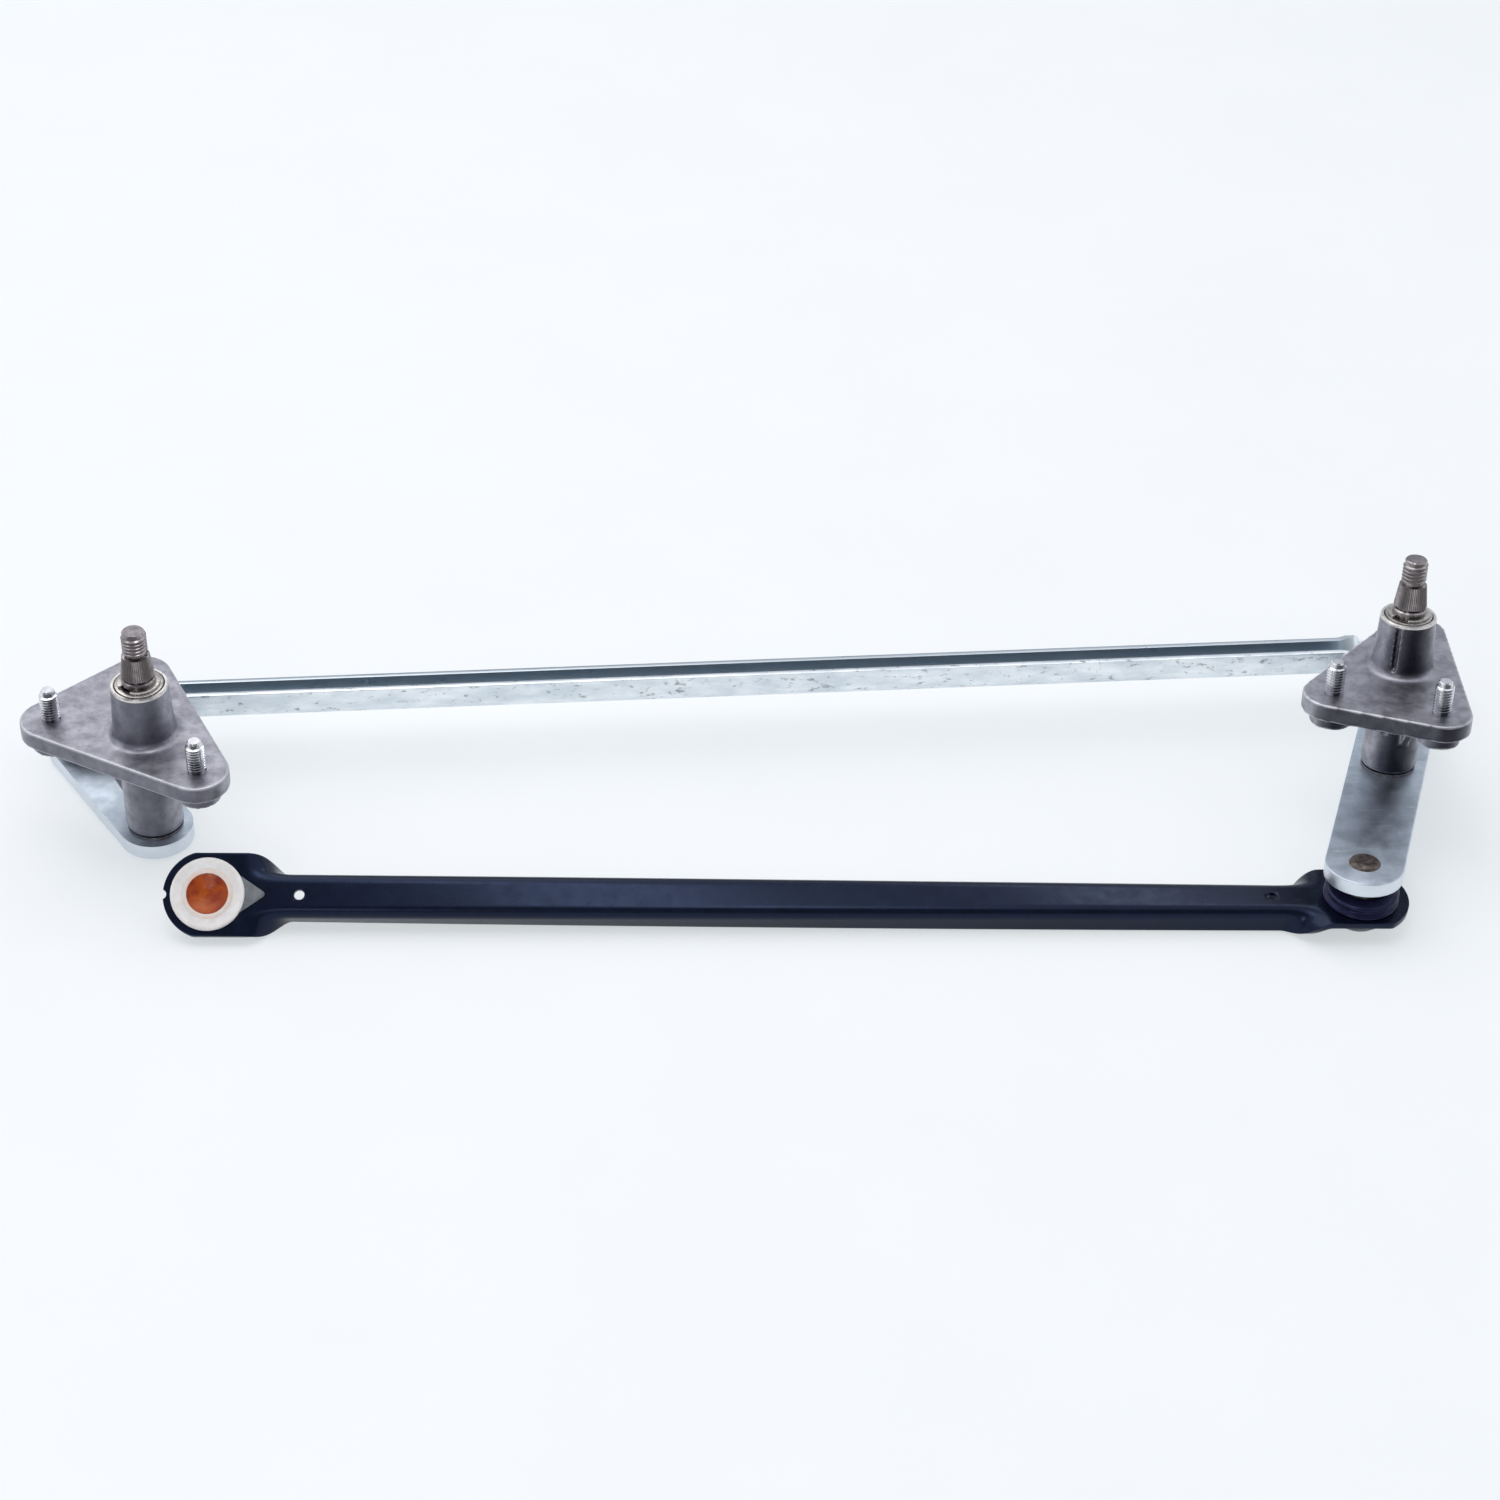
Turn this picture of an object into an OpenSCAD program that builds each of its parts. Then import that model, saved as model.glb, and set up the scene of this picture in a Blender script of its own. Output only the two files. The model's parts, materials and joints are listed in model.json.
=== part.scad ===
// Wiper linkage: two spindle housings, a two-armed lever, a crank, a connecting link and a drive
// link, lying on a bench as three ball joints and two spindles hold them. Millimetres, +Z up.

/* [Layout] */
// distance between the two spindle axes at the lever plane
pivot_spacing = 408.7; // [380:0.1:440]
// direction of the crank from the left spindle, in degrees from +X
crank_angle = 120.3; // [100:0.1:140]
// direction of the lever's rear arm from the right spindle
lever_angle = 68.2; // [50:0.1:90]
// direction of the left flange's pointed corner
left_flange_angle = 310.5; // [0:0.5:360]
// direction of the right flange's pointed corner
right_flange_angle = 64.5; // [0:0.5:360]
// motor end of the drive link, to the right of the left spindle
motor_end_x = 19.4; // [10:0.1:40]
// motor end of the drive link, in front of the left spindle
motor_end_y = 42.7; // [38:0.1:60]
// moves the whole part in X so that its box is centred
shift_x = 3.859; // [-20:0.001:20]
// moves the whole part in Y so that its box is centred
shift_y = 5.986; // [-20:0.001:20]

/* [Housing] */
// top of the flange above the lever plane
flange_top = 37.8; // [30:0.1:45]
// thickness of the flange
flange_t = 5.8; // [4:0.1:8]
// circle that the flange's three lugs lie on, as a radius
lug_circle_r = 29.3; // [26:0.1:34]
// radius of each lug
lug_r = 10; // [8:0.1:12]
// angle from the pointed corner to each of the other two lugs
lug_spread = 143.7; // [125:0.1:150]
// how far the lugs' circle lies from the spindle axis, away from the pointed corner
lug_offset = 2.4; // [0:0.1:4]
// height of the boss above the flange
boss_h = 19.2; // [15:0.1:30]
// boss radius at its top
boss_top_r = 9.05; // [8.6:0.05:11]
// boss radius above its root fillet
boss_root_r = 9.9; // [9:0.05:12]
// root fillet of the boss
boss_fillet = 2.4; // [0.5:0.1:4]
// sleeve radius below the flange
sleeve_r = 9.15; // [8.6:0.05:11]
// height of the pads under the lugs
pad_h = 4.5; // [1:0.1:6]
// radius of the pads under the lugs
pad_r = 7; // [4.5:0.1:8]
// thickness of the gussets between sleeve and flange
gusset_t = 3; // [2:0.1:5]
// height of the gussets
gusset_h = 9; // [4:0.1:14]
// height of the long gusset, at the third lug
long_gusset_h = 20; // [10:0.1:24]
// width of the moulded groove along the boss and below the flange
groove_w = 1.6; // [0.8:0.1:3]
// depth of that groove
groove_d = 0.7; // [0.3:0.1:1]
// length of that groove below the flange
groove_l = 16; // [8:0.5:24]
// width of the rim round the recess in the boss's top
rim_w = 1.1; // [0.8:0.05:1.6]
// depth of the recess in the boss's top
recess_d = 0.9; // [0.5:0.1:2]

/* [Bushes] */
// outer radius of the bushes, pressed into the housing
bush_r = 7; // [6.6:0.05:7.8]
// length of each bush
bush_l = 14; // [8:0.5:18]

/* [Studs] */
// radius of the mounting studs
stud_r = 3; // [2.5:0.5:4]
// radius of the studs' shanks, pressed into the flange
press_r = 3.4; // [3.1:0.1:4.2]
// radius of the studs' heads under the pads
stud_head_r = 4.3; // [4.3:0.1:5.5]
// height of the studs' heads
stud_head_h = 1.4; // [0.8:0.1:2.5]
// height of the studs above the flange
stud_h = 11.5; // [8:0.5:20]
// length of the studs' plain points
dog_l = 2; // [1:0.1:3]

/* [Spindle] */
// radius of the spindle in its bushes
shaft_r = 5.5; // [4.5:0.05:6]
// length of plain shaft above the retaining ring
shaft_over = 1.7; // [0.8:0.1:3]
// radius of the thread at the top
thread_r = 4; // [3:0.5:5]
// length of the threaded end
thread_l = 8.4; // [6:0.1:14]
// radius at the foot of the knurled taper
taper_foot_r = 5.35; // [4.4:0.05:5.4]
// radius at the top of the knurled taper
taper_top_r = 4.4; // [4.1:0.05:5]
// length of the knurled taper
taper_l = 7.5; // [5:0.1:12]
// radius of the spigot riveted into the lever
spigot_r = 4.5; // [3.5:0.1:5]
// radius of the riveted head under the lever
peen_r = 5.6; // [5:0.1:7]
// height of every riveted head
peen_h = 1.1; // [0.5:0.1:2]
// thickness of the retaining ring
ring_t = 1; // [0.6:0.1:1.5]
// depth of the retaining ring's groove
ring_groove = 1; // [0.5:0.1:1.5]
// thickness of the washers on the spindle
washer_t = 0.8; // [0.5:0.1:1.5]
// thickness of the thrust washer on the lever
thrust_t = 1.2; // [0.8:0.1:2]

/* [Levers] */
// thickness of the lever and the crank
lever_t = 5; // [4:0.1:6]
// width of the crank
crank_w = 24; // [20:0.5:28]
// width of the lever
lever_w = 25; // [20:0.5:28]
// length of the crank between centres
crank_l = 53.2; // [45:0.1:70]
// length of the lever's rear arm
rear_arm_l = 53.5; // [45:0.1:70]
// length of the lever's front arm
front_arm_l = 64.5; // [45:0.1:70]

/* [Ball joints] */
// radius of the balls
ball_r = 6.5; // [5:0.1:8]
// ball centre from the face that its stud stands on
ball_reach = 8.5; // [8.2:0.1:12]
// the same on the connecting link's two balls
link_reach = 10.4; // [8.2:0.1:12]
// radius of the stud's shank in the lever
shank_r = 4; // [3:0.1:5]
// radius of the stud's riveted head
rivet_r = 5; // [4.5:0.1:6]
// radius of the stud's collar
collar_r = 6; // [5:0.1:6.4]
// thickness of the stud's collar
collar_t = 2; // [1:0.1:2.4]
// radius of the neck under the ball
neck_r = 3.7; // [3:0.1:4.2]
// radius of the socket's body in its eye
socket_r = 9.2; // [8:0.1:9.6]
// depth of the socket's cap beyond the ball's centre
socket_cap = 7.7; // [7.2:0.1:10]
// depth of the connecting link's socket caps
link_cap = 7.3; // [7.1:0.1:10]
// height of the socket's rim beyond the ball's centre
socket_rim = 2.6; // [2:0.1:3.2]
// radius of the socket's flange
socket_flange_r = 10.4; // [9.8:0.1:10.6]
// radius of the motor end socket's face ring
face_r = 11.6; // [10:0.1:12]
// reach of the motor end socket's tab
tab_reach = 17.8; // [14:0.1:20]

/* [Connecting link] */
// sheet thickness of the connecting link
con_t = 1.8; // [1.4:0.1:2.4]
// half the width of its strip before folding
con_half = 11.8; // [11:0.1:14]
// half the flat part of its web
con_web = 1.7; // [1:0.1:4]
// radius of its eyes
con_eye_r = 12.2; // [12:0.1:16]

/* [Drive link] */
// sheet thickness of the drive link
drv_t = 2; // [1.4:0.1:2.6]
// half the width of its strip at the eyes
drv_half = 13.3; // [12:0.1:16]
// half the width of its strip along the channel, before folding
drv_channel_half = 12.6; // [11:0.1:14]
// half the flat part of its web
drv_web = 4.8; // [2:0.1:6]
// radius of its motor end eye
drv_eye_r = 14; // [13:0.1:18]
// radius of its lever end eye
drv_lever_eye_r = 15.5; // [13:0.1:18]
// twist from the motor end to the lever end, in degrees
drv_twist = 39; // [0:1:60]
// radius of the notch at the tip of its motor end
notch_r = 1.6; // [0.8:0.1:3]
// radius of the two locating holes
pilot_r = 1.65; // [1:0.05:3]
// distance of the locating holes from the eyes
pilot_x = 28.5; // [24:0.5:60]

/* [Clearances] */
// radial running clearance of a spindle in its bushes
bush_clear = 0.03; // [0.01:0.01:0.1]
// radial clearance of a ball in its socket
ball_clear = 0.06; // [0.02:0.01:0.1]
// end float of a spindle in its housing
end_float = 0.3; // [0.1:0.05:1]
// radial clearance of a washer on its spindle
washer_clear = 0.1; // [0.05:0.05:0.5]

/* [Hidden] */
$fn = 72;

boss_top = flange_top + boss_h;
sleeve_foot = thrust_t + end_float;
flange_foot = flange_top - flange_t;
bush_top = boss_top - recess_d;
recess_r = boss_top_r - rim_w;
washer_foot = bush_top + end_float;
ring_foot = washer_foot + washer_t;
shaft_top = ring_foot + ring_t + shaft_over;
neck_l = 0.9;
taper_foot = shaft_top + neck_l;
taper_top = taper_foot + taper_l;
spindle_top = taper_top + 0.5 + thread_l;
lugs = [
  for (a = [0, lug_spread, 360 - lug_spread])
    [lug_circle_r * cos(a) - lug_offset, lug_circle_r * sin(a)]
];

// the crank lies on its riveted heads
crank_top = peen_h + lever_t;

// the lever leans back until its rear rivet and the drive joint's cap both touch the bench
// and slope_gap is how far the cap's edge dips as the drive link slopes
slope_gap = 0.068;
front_y = front_arm_l * sin(lever_angle);
rear_y = rear_arm_l * sin(lever_angle);
lean_arm = front_y + rear_y + rivet_r;
lean_step = ball_reach - peen_h;
lean = asin((socket_cap + slope_gap) / norm([lean_arm, lean_step])) + atan2(lean_step, lean_arm);
lever_lift = (rear_y + rivet_r) * sin(lean) + (lever_t + peen_h) * cos(lean);

// a point in the right spindle's frame, in the part's frame
function from_right(p) = [
  shift_x + pivot_spacing / 2 + p[0],
  shift_y + p[1] * cos(lean) + p[2] * sin(lean),
  lever_lift - p[1] * sin(lean) + p[2] * cos(lean)
];

left_ball = [
  shift_x - pivot_spacing / 2 + crank_l * cos(crank_angle),
  shift_y + crank_l * sin(crank_angle),
  crank_top + link_reach
];
rear_ball = from_right([rear_arm_l * cos(lever_angle), rear_y, link_reach]);
front_ball = from_right([-front_arm_l * cos(lever_angle), -front_y, -lever_t - ball_reach]);

// the motor end lies on the link's fold, which holds its socket's tapered cap just off the bench
motor_lift = 0.9;
cap_taper = 2.2;
cap_tip_r = socket_r - cap_taper;
motor_ball = [
  shift_x - pivot_spacing / 2 + motor_end_x,
  shift_y - motor_end_y,
  socket_cap * cos(drv_twist) + cap_tip_r * sin(drv_twist) + motor_lift
];

con_span = rear_ball - left_ball;
con_l = norm(con_span);
drv_span = front_ball - motor_ball;
drv_l = norm(drv_span);

// one cross-section of a folded strip: [x, half width as a share, fold angle, twist angle]
function half_path(web, half, share, fold, up) =
  let (e = (half - web) * 0.13)
  let (lens = [web, e, e, half - web - 2 * e])
  let (p1 = [lens[0], 0])
  let (p2 = p1 + e * [cos(fold / 3), up * sin(fold / 3)])
  let (p3 = p2 + e * [cos(2 * fold / 3), up * sin(2 * fold / 3)])
  let (p4 = p3 + lens[3] * [cos(fold), up * sin(fold)])
  [for (p = [p1, p2, p3, p4]) p * share];

function half_normals(fold, up) = [
  for (h = [fold / 6, fold / 2, 5 * fold / 6])
    [-up * sin(h), cos(h)] / cos(fold / 6)
];

function strip_ring(web, half, t, up, station) =
  let (path = half_path(web, half, station[1], station[2], up))
  let (inner = half_normals(station[2], up))
  let (tip = [-up * sin(station[2]), cos(station[2])])
  let (nrm = [inner[0], inner[1], inner[2], tip])
  let (face = [for (i = [0:3]) path[i] + nrm[i] * t / 2])
  let (back = [for (i = [0:3]) path[i] - nrm[i] * t / 2])
  let (flat = concat(
    [for (i = [3:-1:0]) [-face[i][0], face[i][1]]],
    face,
    [for (i = [3:-1:0]) back[i]],
    [for (i = [0:3]) [-back[i][0], back[i][1]]]
  ))
  let (c = cos(station[3]))
  let (s = sin(station[3]))
  [for (q = flat) [station[0], q[0] * c - q[1] * s, q[0] * s + q[1] * c]];

// eye, folding run and channel of a strip, from one end to the other
function smooth(u) = u * u * (3 - 2 * u);
function eye_share(r, half, x) = min(1, sqrt(max(0, r * r - x * x)) / half);
fold_run = 15;
eye_run = 11;
function end_stations(r, half, share) = concat(
  [for (a = [86, 80, 72, 63, 54, 45, 36, 27, 18, 9]) [-r * sin(a), eye_share(r, half, r * sin(a)), 0]],
  [[0, 1, 0], [eye_run, 1, 0]],
  [for (i = [1:8]) [eye_run + fold_run * i / 8, 1 + (share - 1) * smooth(i / 8), 90 * smooth(i / 8)]]
);

module folded_strip(length, web, half, channel_half, t, r, r_far, up, twist, spans) {
  share = channel_half / half;
  ends = end_stations(r, half, share);
  far = end_stations(r_far, half, share);
  first = eye_run + fold_run;
  run = length - 2 * first;
  flat = concat(
    ends,
    [for (i = [1:spans - 1]) [first + run * i / spans, share, 90]],
    [for (i = [len(far) - 1:-1:0]) [length - far[i][0], far[i][1], far[i][2]]]
  );
  stations = [
    for (s = flat)
      [s[0], s[1], s[2], twist * (1 - min(1, max(0, (s[0] - eye_run) / (length - 2 * eye_run))))]
  ];
  n = len(stations);
  points = [for (s = stations) each strip_ring(web, half, t, up, s)];
  sides = [
    for (k = [0:n - 2])
      for (i = [0:15])
        let (j = (i + 1) % 16)
        each [
          [16 * k + i, 16 * (k + 1) + i, 16 * (k + 1) + j],
          [16 * k + i, 16 * (k + 1) + j, 16 * k + j]
        ]
  ];
  caps = [
    for (i = [0:6])
      each [
        [i, i + 1, 14 - i],
        [i, 14 - i, 15 - i],
        [16 * (n - 1) + i, 16 * (n - 1) + 14 - i, 16 * (n - 1) + i + 1],
        [16 * (n - 1) + i, 16 * (n - 1) + 15 - i, 16 * (n - 1) + 14 - i]
      ]
  ];
  polyhedron(points, concat(sides, caps), convexity = 8);
}

// hole through a link's sheet, on its middle plane
module eye_cut(r) {
  cylinder(r = r, h = 3 * drv_t, center = true);
}

module at_left() {
  translate([shift_x - pivot_spacing / 2, shift_y, crank_top])
    children();
}

module at_right() {
  translate([shift_x + pivot_spacing / 2, shift_y, lever_lift])
    rotate([-lean, 0, 0])
      children();
}

// frame along a link: X from its first ball to its second
module along(start, span) {
  translate(start)
    rotate([0, -atan2(span[2], norm([span[0], span[1]])), atan2(span[1], span[0])])
      children();
}

module ring(r_in, r_out, low, high) {
  difference() {
    translate([0, 0, low])
      cylinder(r = r_out, h = high - low);
    translate([0, 0, low - 1])
      cylinder(r = r_in, h = high - low + 2);
  }
}

module housing(angle, studs) {
  groove_angle = 171;
  difference() {
    union() {
      rotate_extrude()
        polygon(concat(
          [[0, sleeve_foot], [sleeve_r - 0.5, sleeve_foot], [sleeve_r, sleeve_foot + 0.5]],
          [[sleeve_r, flange_top - 1], [boss_root_r + boss_fillet, flange_top - 1]],
          [for (a = [0:15:90]) [
            boss_root_r + boss_fillet * (1 - sin(a)),
            flange_top + boss_fillet * (1 - cos(a))
          ]],
          [[boss_top_r, boss_top - 0.6], [boss_top_r - 0.6, boss_top], [0, boss_top]]
        ));
      rotate(angle) {
        flange_plate();
        for (i = [0:2]) {
          translate([lugs[i][0], lugs[i][1], flange_foot - pad_h])
            cylinder(r = pad_r, h = pad_h + 1);
          rotate(atan2(lugs[i][1], lugs[i][0]))
            gusset(i == 2 ? long_gusset_h : gusset_h);
        }
      }
    }
    translate([0, 0, sleeve_foot - 1])
      cylinder(r = bush_r - 0.4, h = boss_top - sleeve_foot + 2);
    translate([0, 0, sleeve_foot - 1])
      cylinder(r = bush_r, h = bush_l + 1);
    translate([0, 0, bush_top - bush_l])
      cylinder(r = bush_r, h = bush_l + recess_d + 1);
    translate([0, 0, bush_top])
      cylinder(r = recess_r, h = recess_d + 1);
    rotate(angle) {
      for (i = studs)
        translate([lugs[i][0], lugs[i][1], flange_foot - pad_h - 1])
          cylinder(r = press_r, h = flange_t + pad_h + 2);
      rotate(groove_angle) {
        translate([boss_top_r - groove_d, -groove_w / 2, flange_top + boss_fillet])
          cube([4, groove_w, boss_h]);
        translate([sleeve_r - groove_d, -groove_w / 2, flange_foot - groove_l])
          cube([4, groove_w, groove_l]);
      }
    }
  }
}

module flange_plate() {
  translate([0, 0, flange_foot]) {
    linear_extrude(flange_t)
      polygon([
        for (i = [0:2])
          let (a = lugs[i])
          let (b = lugs[(i + 1) % 3])
          let (d = (b - a) / norm(b - a))
          each [a + lug_r * [d[1], -d[0]], b + lug_r * [d[1], -d[0]]]
      ]);
    for (p = lugs)
      translate([p[0], p[1], 0])
        cylinder(r = lug_r, h = flange_t);
  }
}

module gusset(height) {
  translate([0, gusset_t / 2, 0])
    rotate([90, 0, 0])
      linear_extrude(gusset_t)
        polygon([
          [bush_r + 0.5, flange_foot + 1],
          [lug_circle_r - lug_offset - pad_r, flange_foot + 1],
          [lug_circle_r - lug_offset - pad_r, flange_foot],
          [sleeve_r, flange_foot - height],
          [bush_r + 0.5, flange_foot - height]
        ]);
}

module stud_set(angle, studs) {
  rotate(angle)
    for (i = studs)
      translate([lugs[i][0], lugs[i][1], 0]) {
        translate([0, 0, flange_foot - pad_h - stud_head_h])
          cylinder(r = stud_head_r, h = stud_head_h);
        translate([0, 0, flange_foot - pad_h - 0.01])
          cylinder(r = press_r, h = pad_h + flange_t + 0.01);
        translate([0, 0, flange_top - 0.01])
          cylinder(r = stud_r, h = stud_h - dog_l + 0.01);
        translate([0, 0, flange_top + stud_h - dog_l - 0.01])
          cylinder(r1 = stud_r * 0.8, r2 = stud_r * 0.7, h = dog_l + 0.01);
      }
}

module spindle() {
  rotate_extrude()
    polygon([
      [0, -lever_t - peen_h],
      [peen_r - 0.6, -lever_t - peen_h],
      [peen_r, -lever_t - peen_h + 0.5],
      [peen_r, -lever_t],
      [spigot_r, -lever_t],
      [spigot_r, 0],
      [shaft_r, 0],
      [shaft_r, ring_foot],
      [shaft_r - ring_groove, ring_foot],
      [shaft_r - ring_groove, ring_foot + ring_t],
      [shaft_r, ring_foot + ring_t],
      [shaft_r, shaft_top - 0.4],
      [taper_top_r, shaft_top],
      [taper_top_r, taper_foot - 0.4],
      [taper_foot_r, taper_foot],
      [taper_top_r, taper_top],
      [thread_r - 0.5, taper_top],
      [thread_r - 0.5, taper_top + 0.5],
      [thread_r, taper_top + 0.5],
      [thread_r, spindle_top - 0.8],
      [thread_r - 0.8, spindle_top],
      [0, spindle_top]
    ]);
}

module upper_bush() {
  ring(shaft_r + bush_clear, bush_r, bush_top - bush_l, bush_top);
}

module lower_bush() {
  ring(shaft_r + bush_clear, bush_r, sleeve_foot, sleeve_foot + bush_l);
}

module top_washer() {
  ring(shaft_r + washer_clear, recess_r - end_float, washer_foot, ring_foot);
}

module retaining_ring() {
  translate([0, 0, ring_foot])
    rotate(250)
      rotate_extrude(angle = 315)
        translate([shaft_r - ring_groove, 0])
          square([ring_groove + 1.3, ring_t]);
}

module thrust_washer() {
  ring(shaft_r + washer_clear, sleeve_r - 0.2, 0, thrust_t);
}

// flat bar with round ends at each of the listed places along X
module flat_bar(low, high, width, holes) {
  difference() {
    union() {
      translate([low, -width / 2, -lever_t])
        cube([high - low, width, lever_t]);
      for (x = [low, high])
        translate([x, 0, -lever_t])
          cylinder(d = width, h = lever_t);
    }
    for (h = holes)
      translate([h[0], 0, -lever_t - 1])
        cylinder(r = h[1], h = lever_t + 2);
  }
}

// stud standing on a face at z = 0, its shank through the bar behind
module ball_stud(reach) {
  translate([0, 0, -lever_t - peen_h])
    cylinder(r = rivet_r, h = peen_h);
  translate([0, 0, -lever_t - 0.01])
    cylinder(r = shank_r, h = lever_t + 0.02);
  cylinder(r = collar_r, h = collar_t);
  cylinder(r = neck_r, h = reach);
  translate([0, 0, reach])
    sphere(r = ball_r);
}

// socket around a ball at the origin, its mouth towards +Z
module ball_socket(t, cap) {
  difference() {
    rotate_extrude()
      polygon([
        [0, -cap],
        [cap_tip_r, -cap],
        [socket_r, -cap + cap_taper],
        [socket_r, t / 2],
        [socket_flange_r, t / 2],
        [socket_flange_r, socket_rim - 0.5],
        [socket_flange_r - 0.5, socket_rim],
        [0, socket_rim]
      ]);
    sphere(r = ball_r + ball_clear);
  }
}

// ribbed sleeve between an eye and the bar above it
module boot(t, reach) {
  lip = reach - 2.1;
  r = socket_flange_r + 0.3;
  rotate_extrude()
    polygon([
      [r, t / 2],
      [r + 1.1, t / 2],
      [r + 1.5, lip * 0.36],
      [r + 0.5, lip * 0.5],
      [r + 1.1, lip * 0.68],
      [r - 2, lip],
      [collar_r + 1.4, lip],
      [collar_r + 1.4, lip - 0.8],
      [r - 1, lip * 0.64],
      [r - 0.6, lip * 0.5],
      [r, lip * 0.4]
    ]);
}

module left_housing() {
  color([0.52, 0.53, 0.57])
    at_left()
      housing(left_flange_angle, [0, 2]);
}

module left_upper_bush() {
  color([0.62, 0.48, 0.28])
    at_left()
      upper_bush();
}

module left_lower_bush() {
  color([0.62, 0.48, 0.28])
    at_left()
      lower_bush();
}

module left_studs() {
  color([0.82, 0.83, 0.85])
    at_left()
      stud_set(left_flange_angle, [0, 2]);
}

module left_spindle() {
  color([0.42, 0.41, 0.43])
    at_left()
      spindle();
}

module left_thrust_washer() {
  color([0.5, 0.5, 0.52])
    at_left()
      thrust_washer();
}

module left_washer() {
  color([0.7, 0.7, 0.72])
    at_left()
      top_washer();
}

module left_retaining_ring() {
  color([0.5, 0.5, 0.52])
    at_left()
      retaining_ring();
}

module right_housing() {
  color([0.52, 0.53, 0.57])
    at_right()
      housing(right_flange_angle, [1, 2]);
}

module right_upper_bush() {
  color([0.62, 0.48, 0.28])
    at_right()
      upper_bush();
}

module right_lower_bush() {
  color([0.62, 0.48, 0.28])
    at_right()
      lower_bush();
}

module right_studs() {
  color([0.82, 0.83, 0.85])
    at_right()
      stud_set(right_flange_angle, [1, 2]);
}

module right_spindle() {
  color([0.42, 0.41, 0.43])
    at_right()
      spindle();
}

module right_thrust_washer() {
  color([0.5, 0.5, 0.52])
    at_right()
      thrust_washer();
}

module right_washer() {
  color([0.7, 0.7, 0.72])
    at_right()
      top_washer();
}

module right_retaining_ring() {
  color([0.5, 0.5, 0.52])
    at_right()
      retaining_ring();
}

module left_crank() {
  color([0.66, 0.68, 0.7])
    at_left()
      rotate(crank_angle)
        flat_bar(0, crank_l, crank_w, [[0, spigot_r], [crank_l, shank_r]]);
}

module left_ball_stud() {
  color([0.45, 0.44, 0.44])
    at_left()
      rotate(crank_angle)
        translate([crank_l, 0, 0])
          ball_stud(link_reach);
}

module right_lever() {
  color([0.66, 0.68, 0.7])
    at_right()
      rotate(lever_angle)
        flat_bar(
          -front_arm_l,
          rear_arm_l,
          lever_w,
          [[-front_arm_l, shank_r], [0, spigot_r], [rear_arm_l, shank_r]]
        );
}

module front_ball_stud() {
  color([0.45, 0.44, 0.44])
    at_right()
      rotate(lever_angle)
        translate([-front_arm_l, 0, -lever_t])
          rotate([180, 0, 0])
            ball_stud(ball_reach);
}

module rear_ball_stud() {
  color([0.45, 0.44, 0.44])
    at_right()
      rotate(lever_angle)
        translate([rear_arm_l, 0, 0])
          ball_stud(link_reach);
}

module connecting_link() {
  color([0.7, 0.72, 0.74])
    along(left_ball, con_span)
      difference() {
        folded_strip(con_l, con_web, con_half, con_half, con_t, con_eye_r, con_eye_r, 1, 0, 6);
        for (x = [0, con_l])
          translate([x, 0, 0])
            eye_cut(socket_r);
      }
}

module link_left_socket() {
  color([0.85, 0.85, 0.83])
    along(left_ball, con_span)
      rotate([180, 0, 0])
        ball_socket(con_t, link_cap);
}

module link_left_boot() {
  color([0.08, 0.08, 0.09])
    along(left_ball, con_span)
      rotate([180, 0, 0])
        boot(con_t, link_reach);
}

module link_right_socket() {
  color([0.85, 0.85, 0.83])
    along(rear_ball, con_span)
      rotate([180, 0, 0])
        ball_socket(con_t, link_cap);
}

module link_right_boot() {
  color([0.08, 0.08, 0.09])
    along(rear_ball, con_span)
      rotate([180, 0, 0])
        boot(con_t, link_reach);
}

module drive_link() {
  color([0.06, 0.065, 0.09])
    along(motor_ball, drv_span)
      difference() {
        folded_strip(
          drv_l, drv_web, drv_half, drv_channel_half, drv_t,
          drv_eye_r, drv_lever_eye_r, -1, drv_twist, 24
        );
        rotate([drv_twist, 0, 0]) {
          eye_cut(socket_r);
          translate([-drv_eye_r - 0.5, 0, 0])
            eye_cut(notch_r);
        }
        translate([drv_l, 0, 0])
          eye_cut(socket_r);
        for (x = [pilot_x, drv_l - pilot_x])
          translate([x, 0, 0])
            rotate([drv_twist * (1 - (x - eye_run) / (drv_l - 2 * eye_run)), 0, 0])
              eye_cut(pilot_r);
      }
}

module drive_socket() {
  color([0.62, 0.64, 0.66])
    along(front_ball, drv_span)
      ball_socket(drv_t, socket_cap);
}

module drive_boot() {
  color([0.05, 0.05, 0.06])
    along(front_ball, drv_span)
      boot(drv_t, ball_reach);
}

module motor_socket() {
  color([0.92, 0.91, 0.9])
    along(motor_ball, drv_span)
      rotate([drv_twist, 0, 0])
        difference() {
          union() {
            rotate_extrude()
              polygon([
                [0, -socket_cap],
                [cap_tip_r, -socket_cap],
                [socket_r, -socket_cap + cap_taper],
                [socket_r, drv_t / 2],
                [face_r, drv_t / 2],
                [face_r, socket_rim - 0.4],
                [face_r - 0.4, socket_rim],
                [0, socket_rim]
              ]);
            translate([0, 0, drv_t / 2])
              linear_extrude(1)
                polygon([
                  [0, 0],
                  [face_r * cos(58), -face_r * sin(58)],
                  [tab_reach - 0.6, -0.9],
                  [tab_reach, 0],
                  [tab_reach - 0.6, 0.9],
                  [face_r * cos(58), face_r * sin(58)]
                ]);
          }
          sphere(r = ball_r + ball_clear);
        }
}

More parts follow.
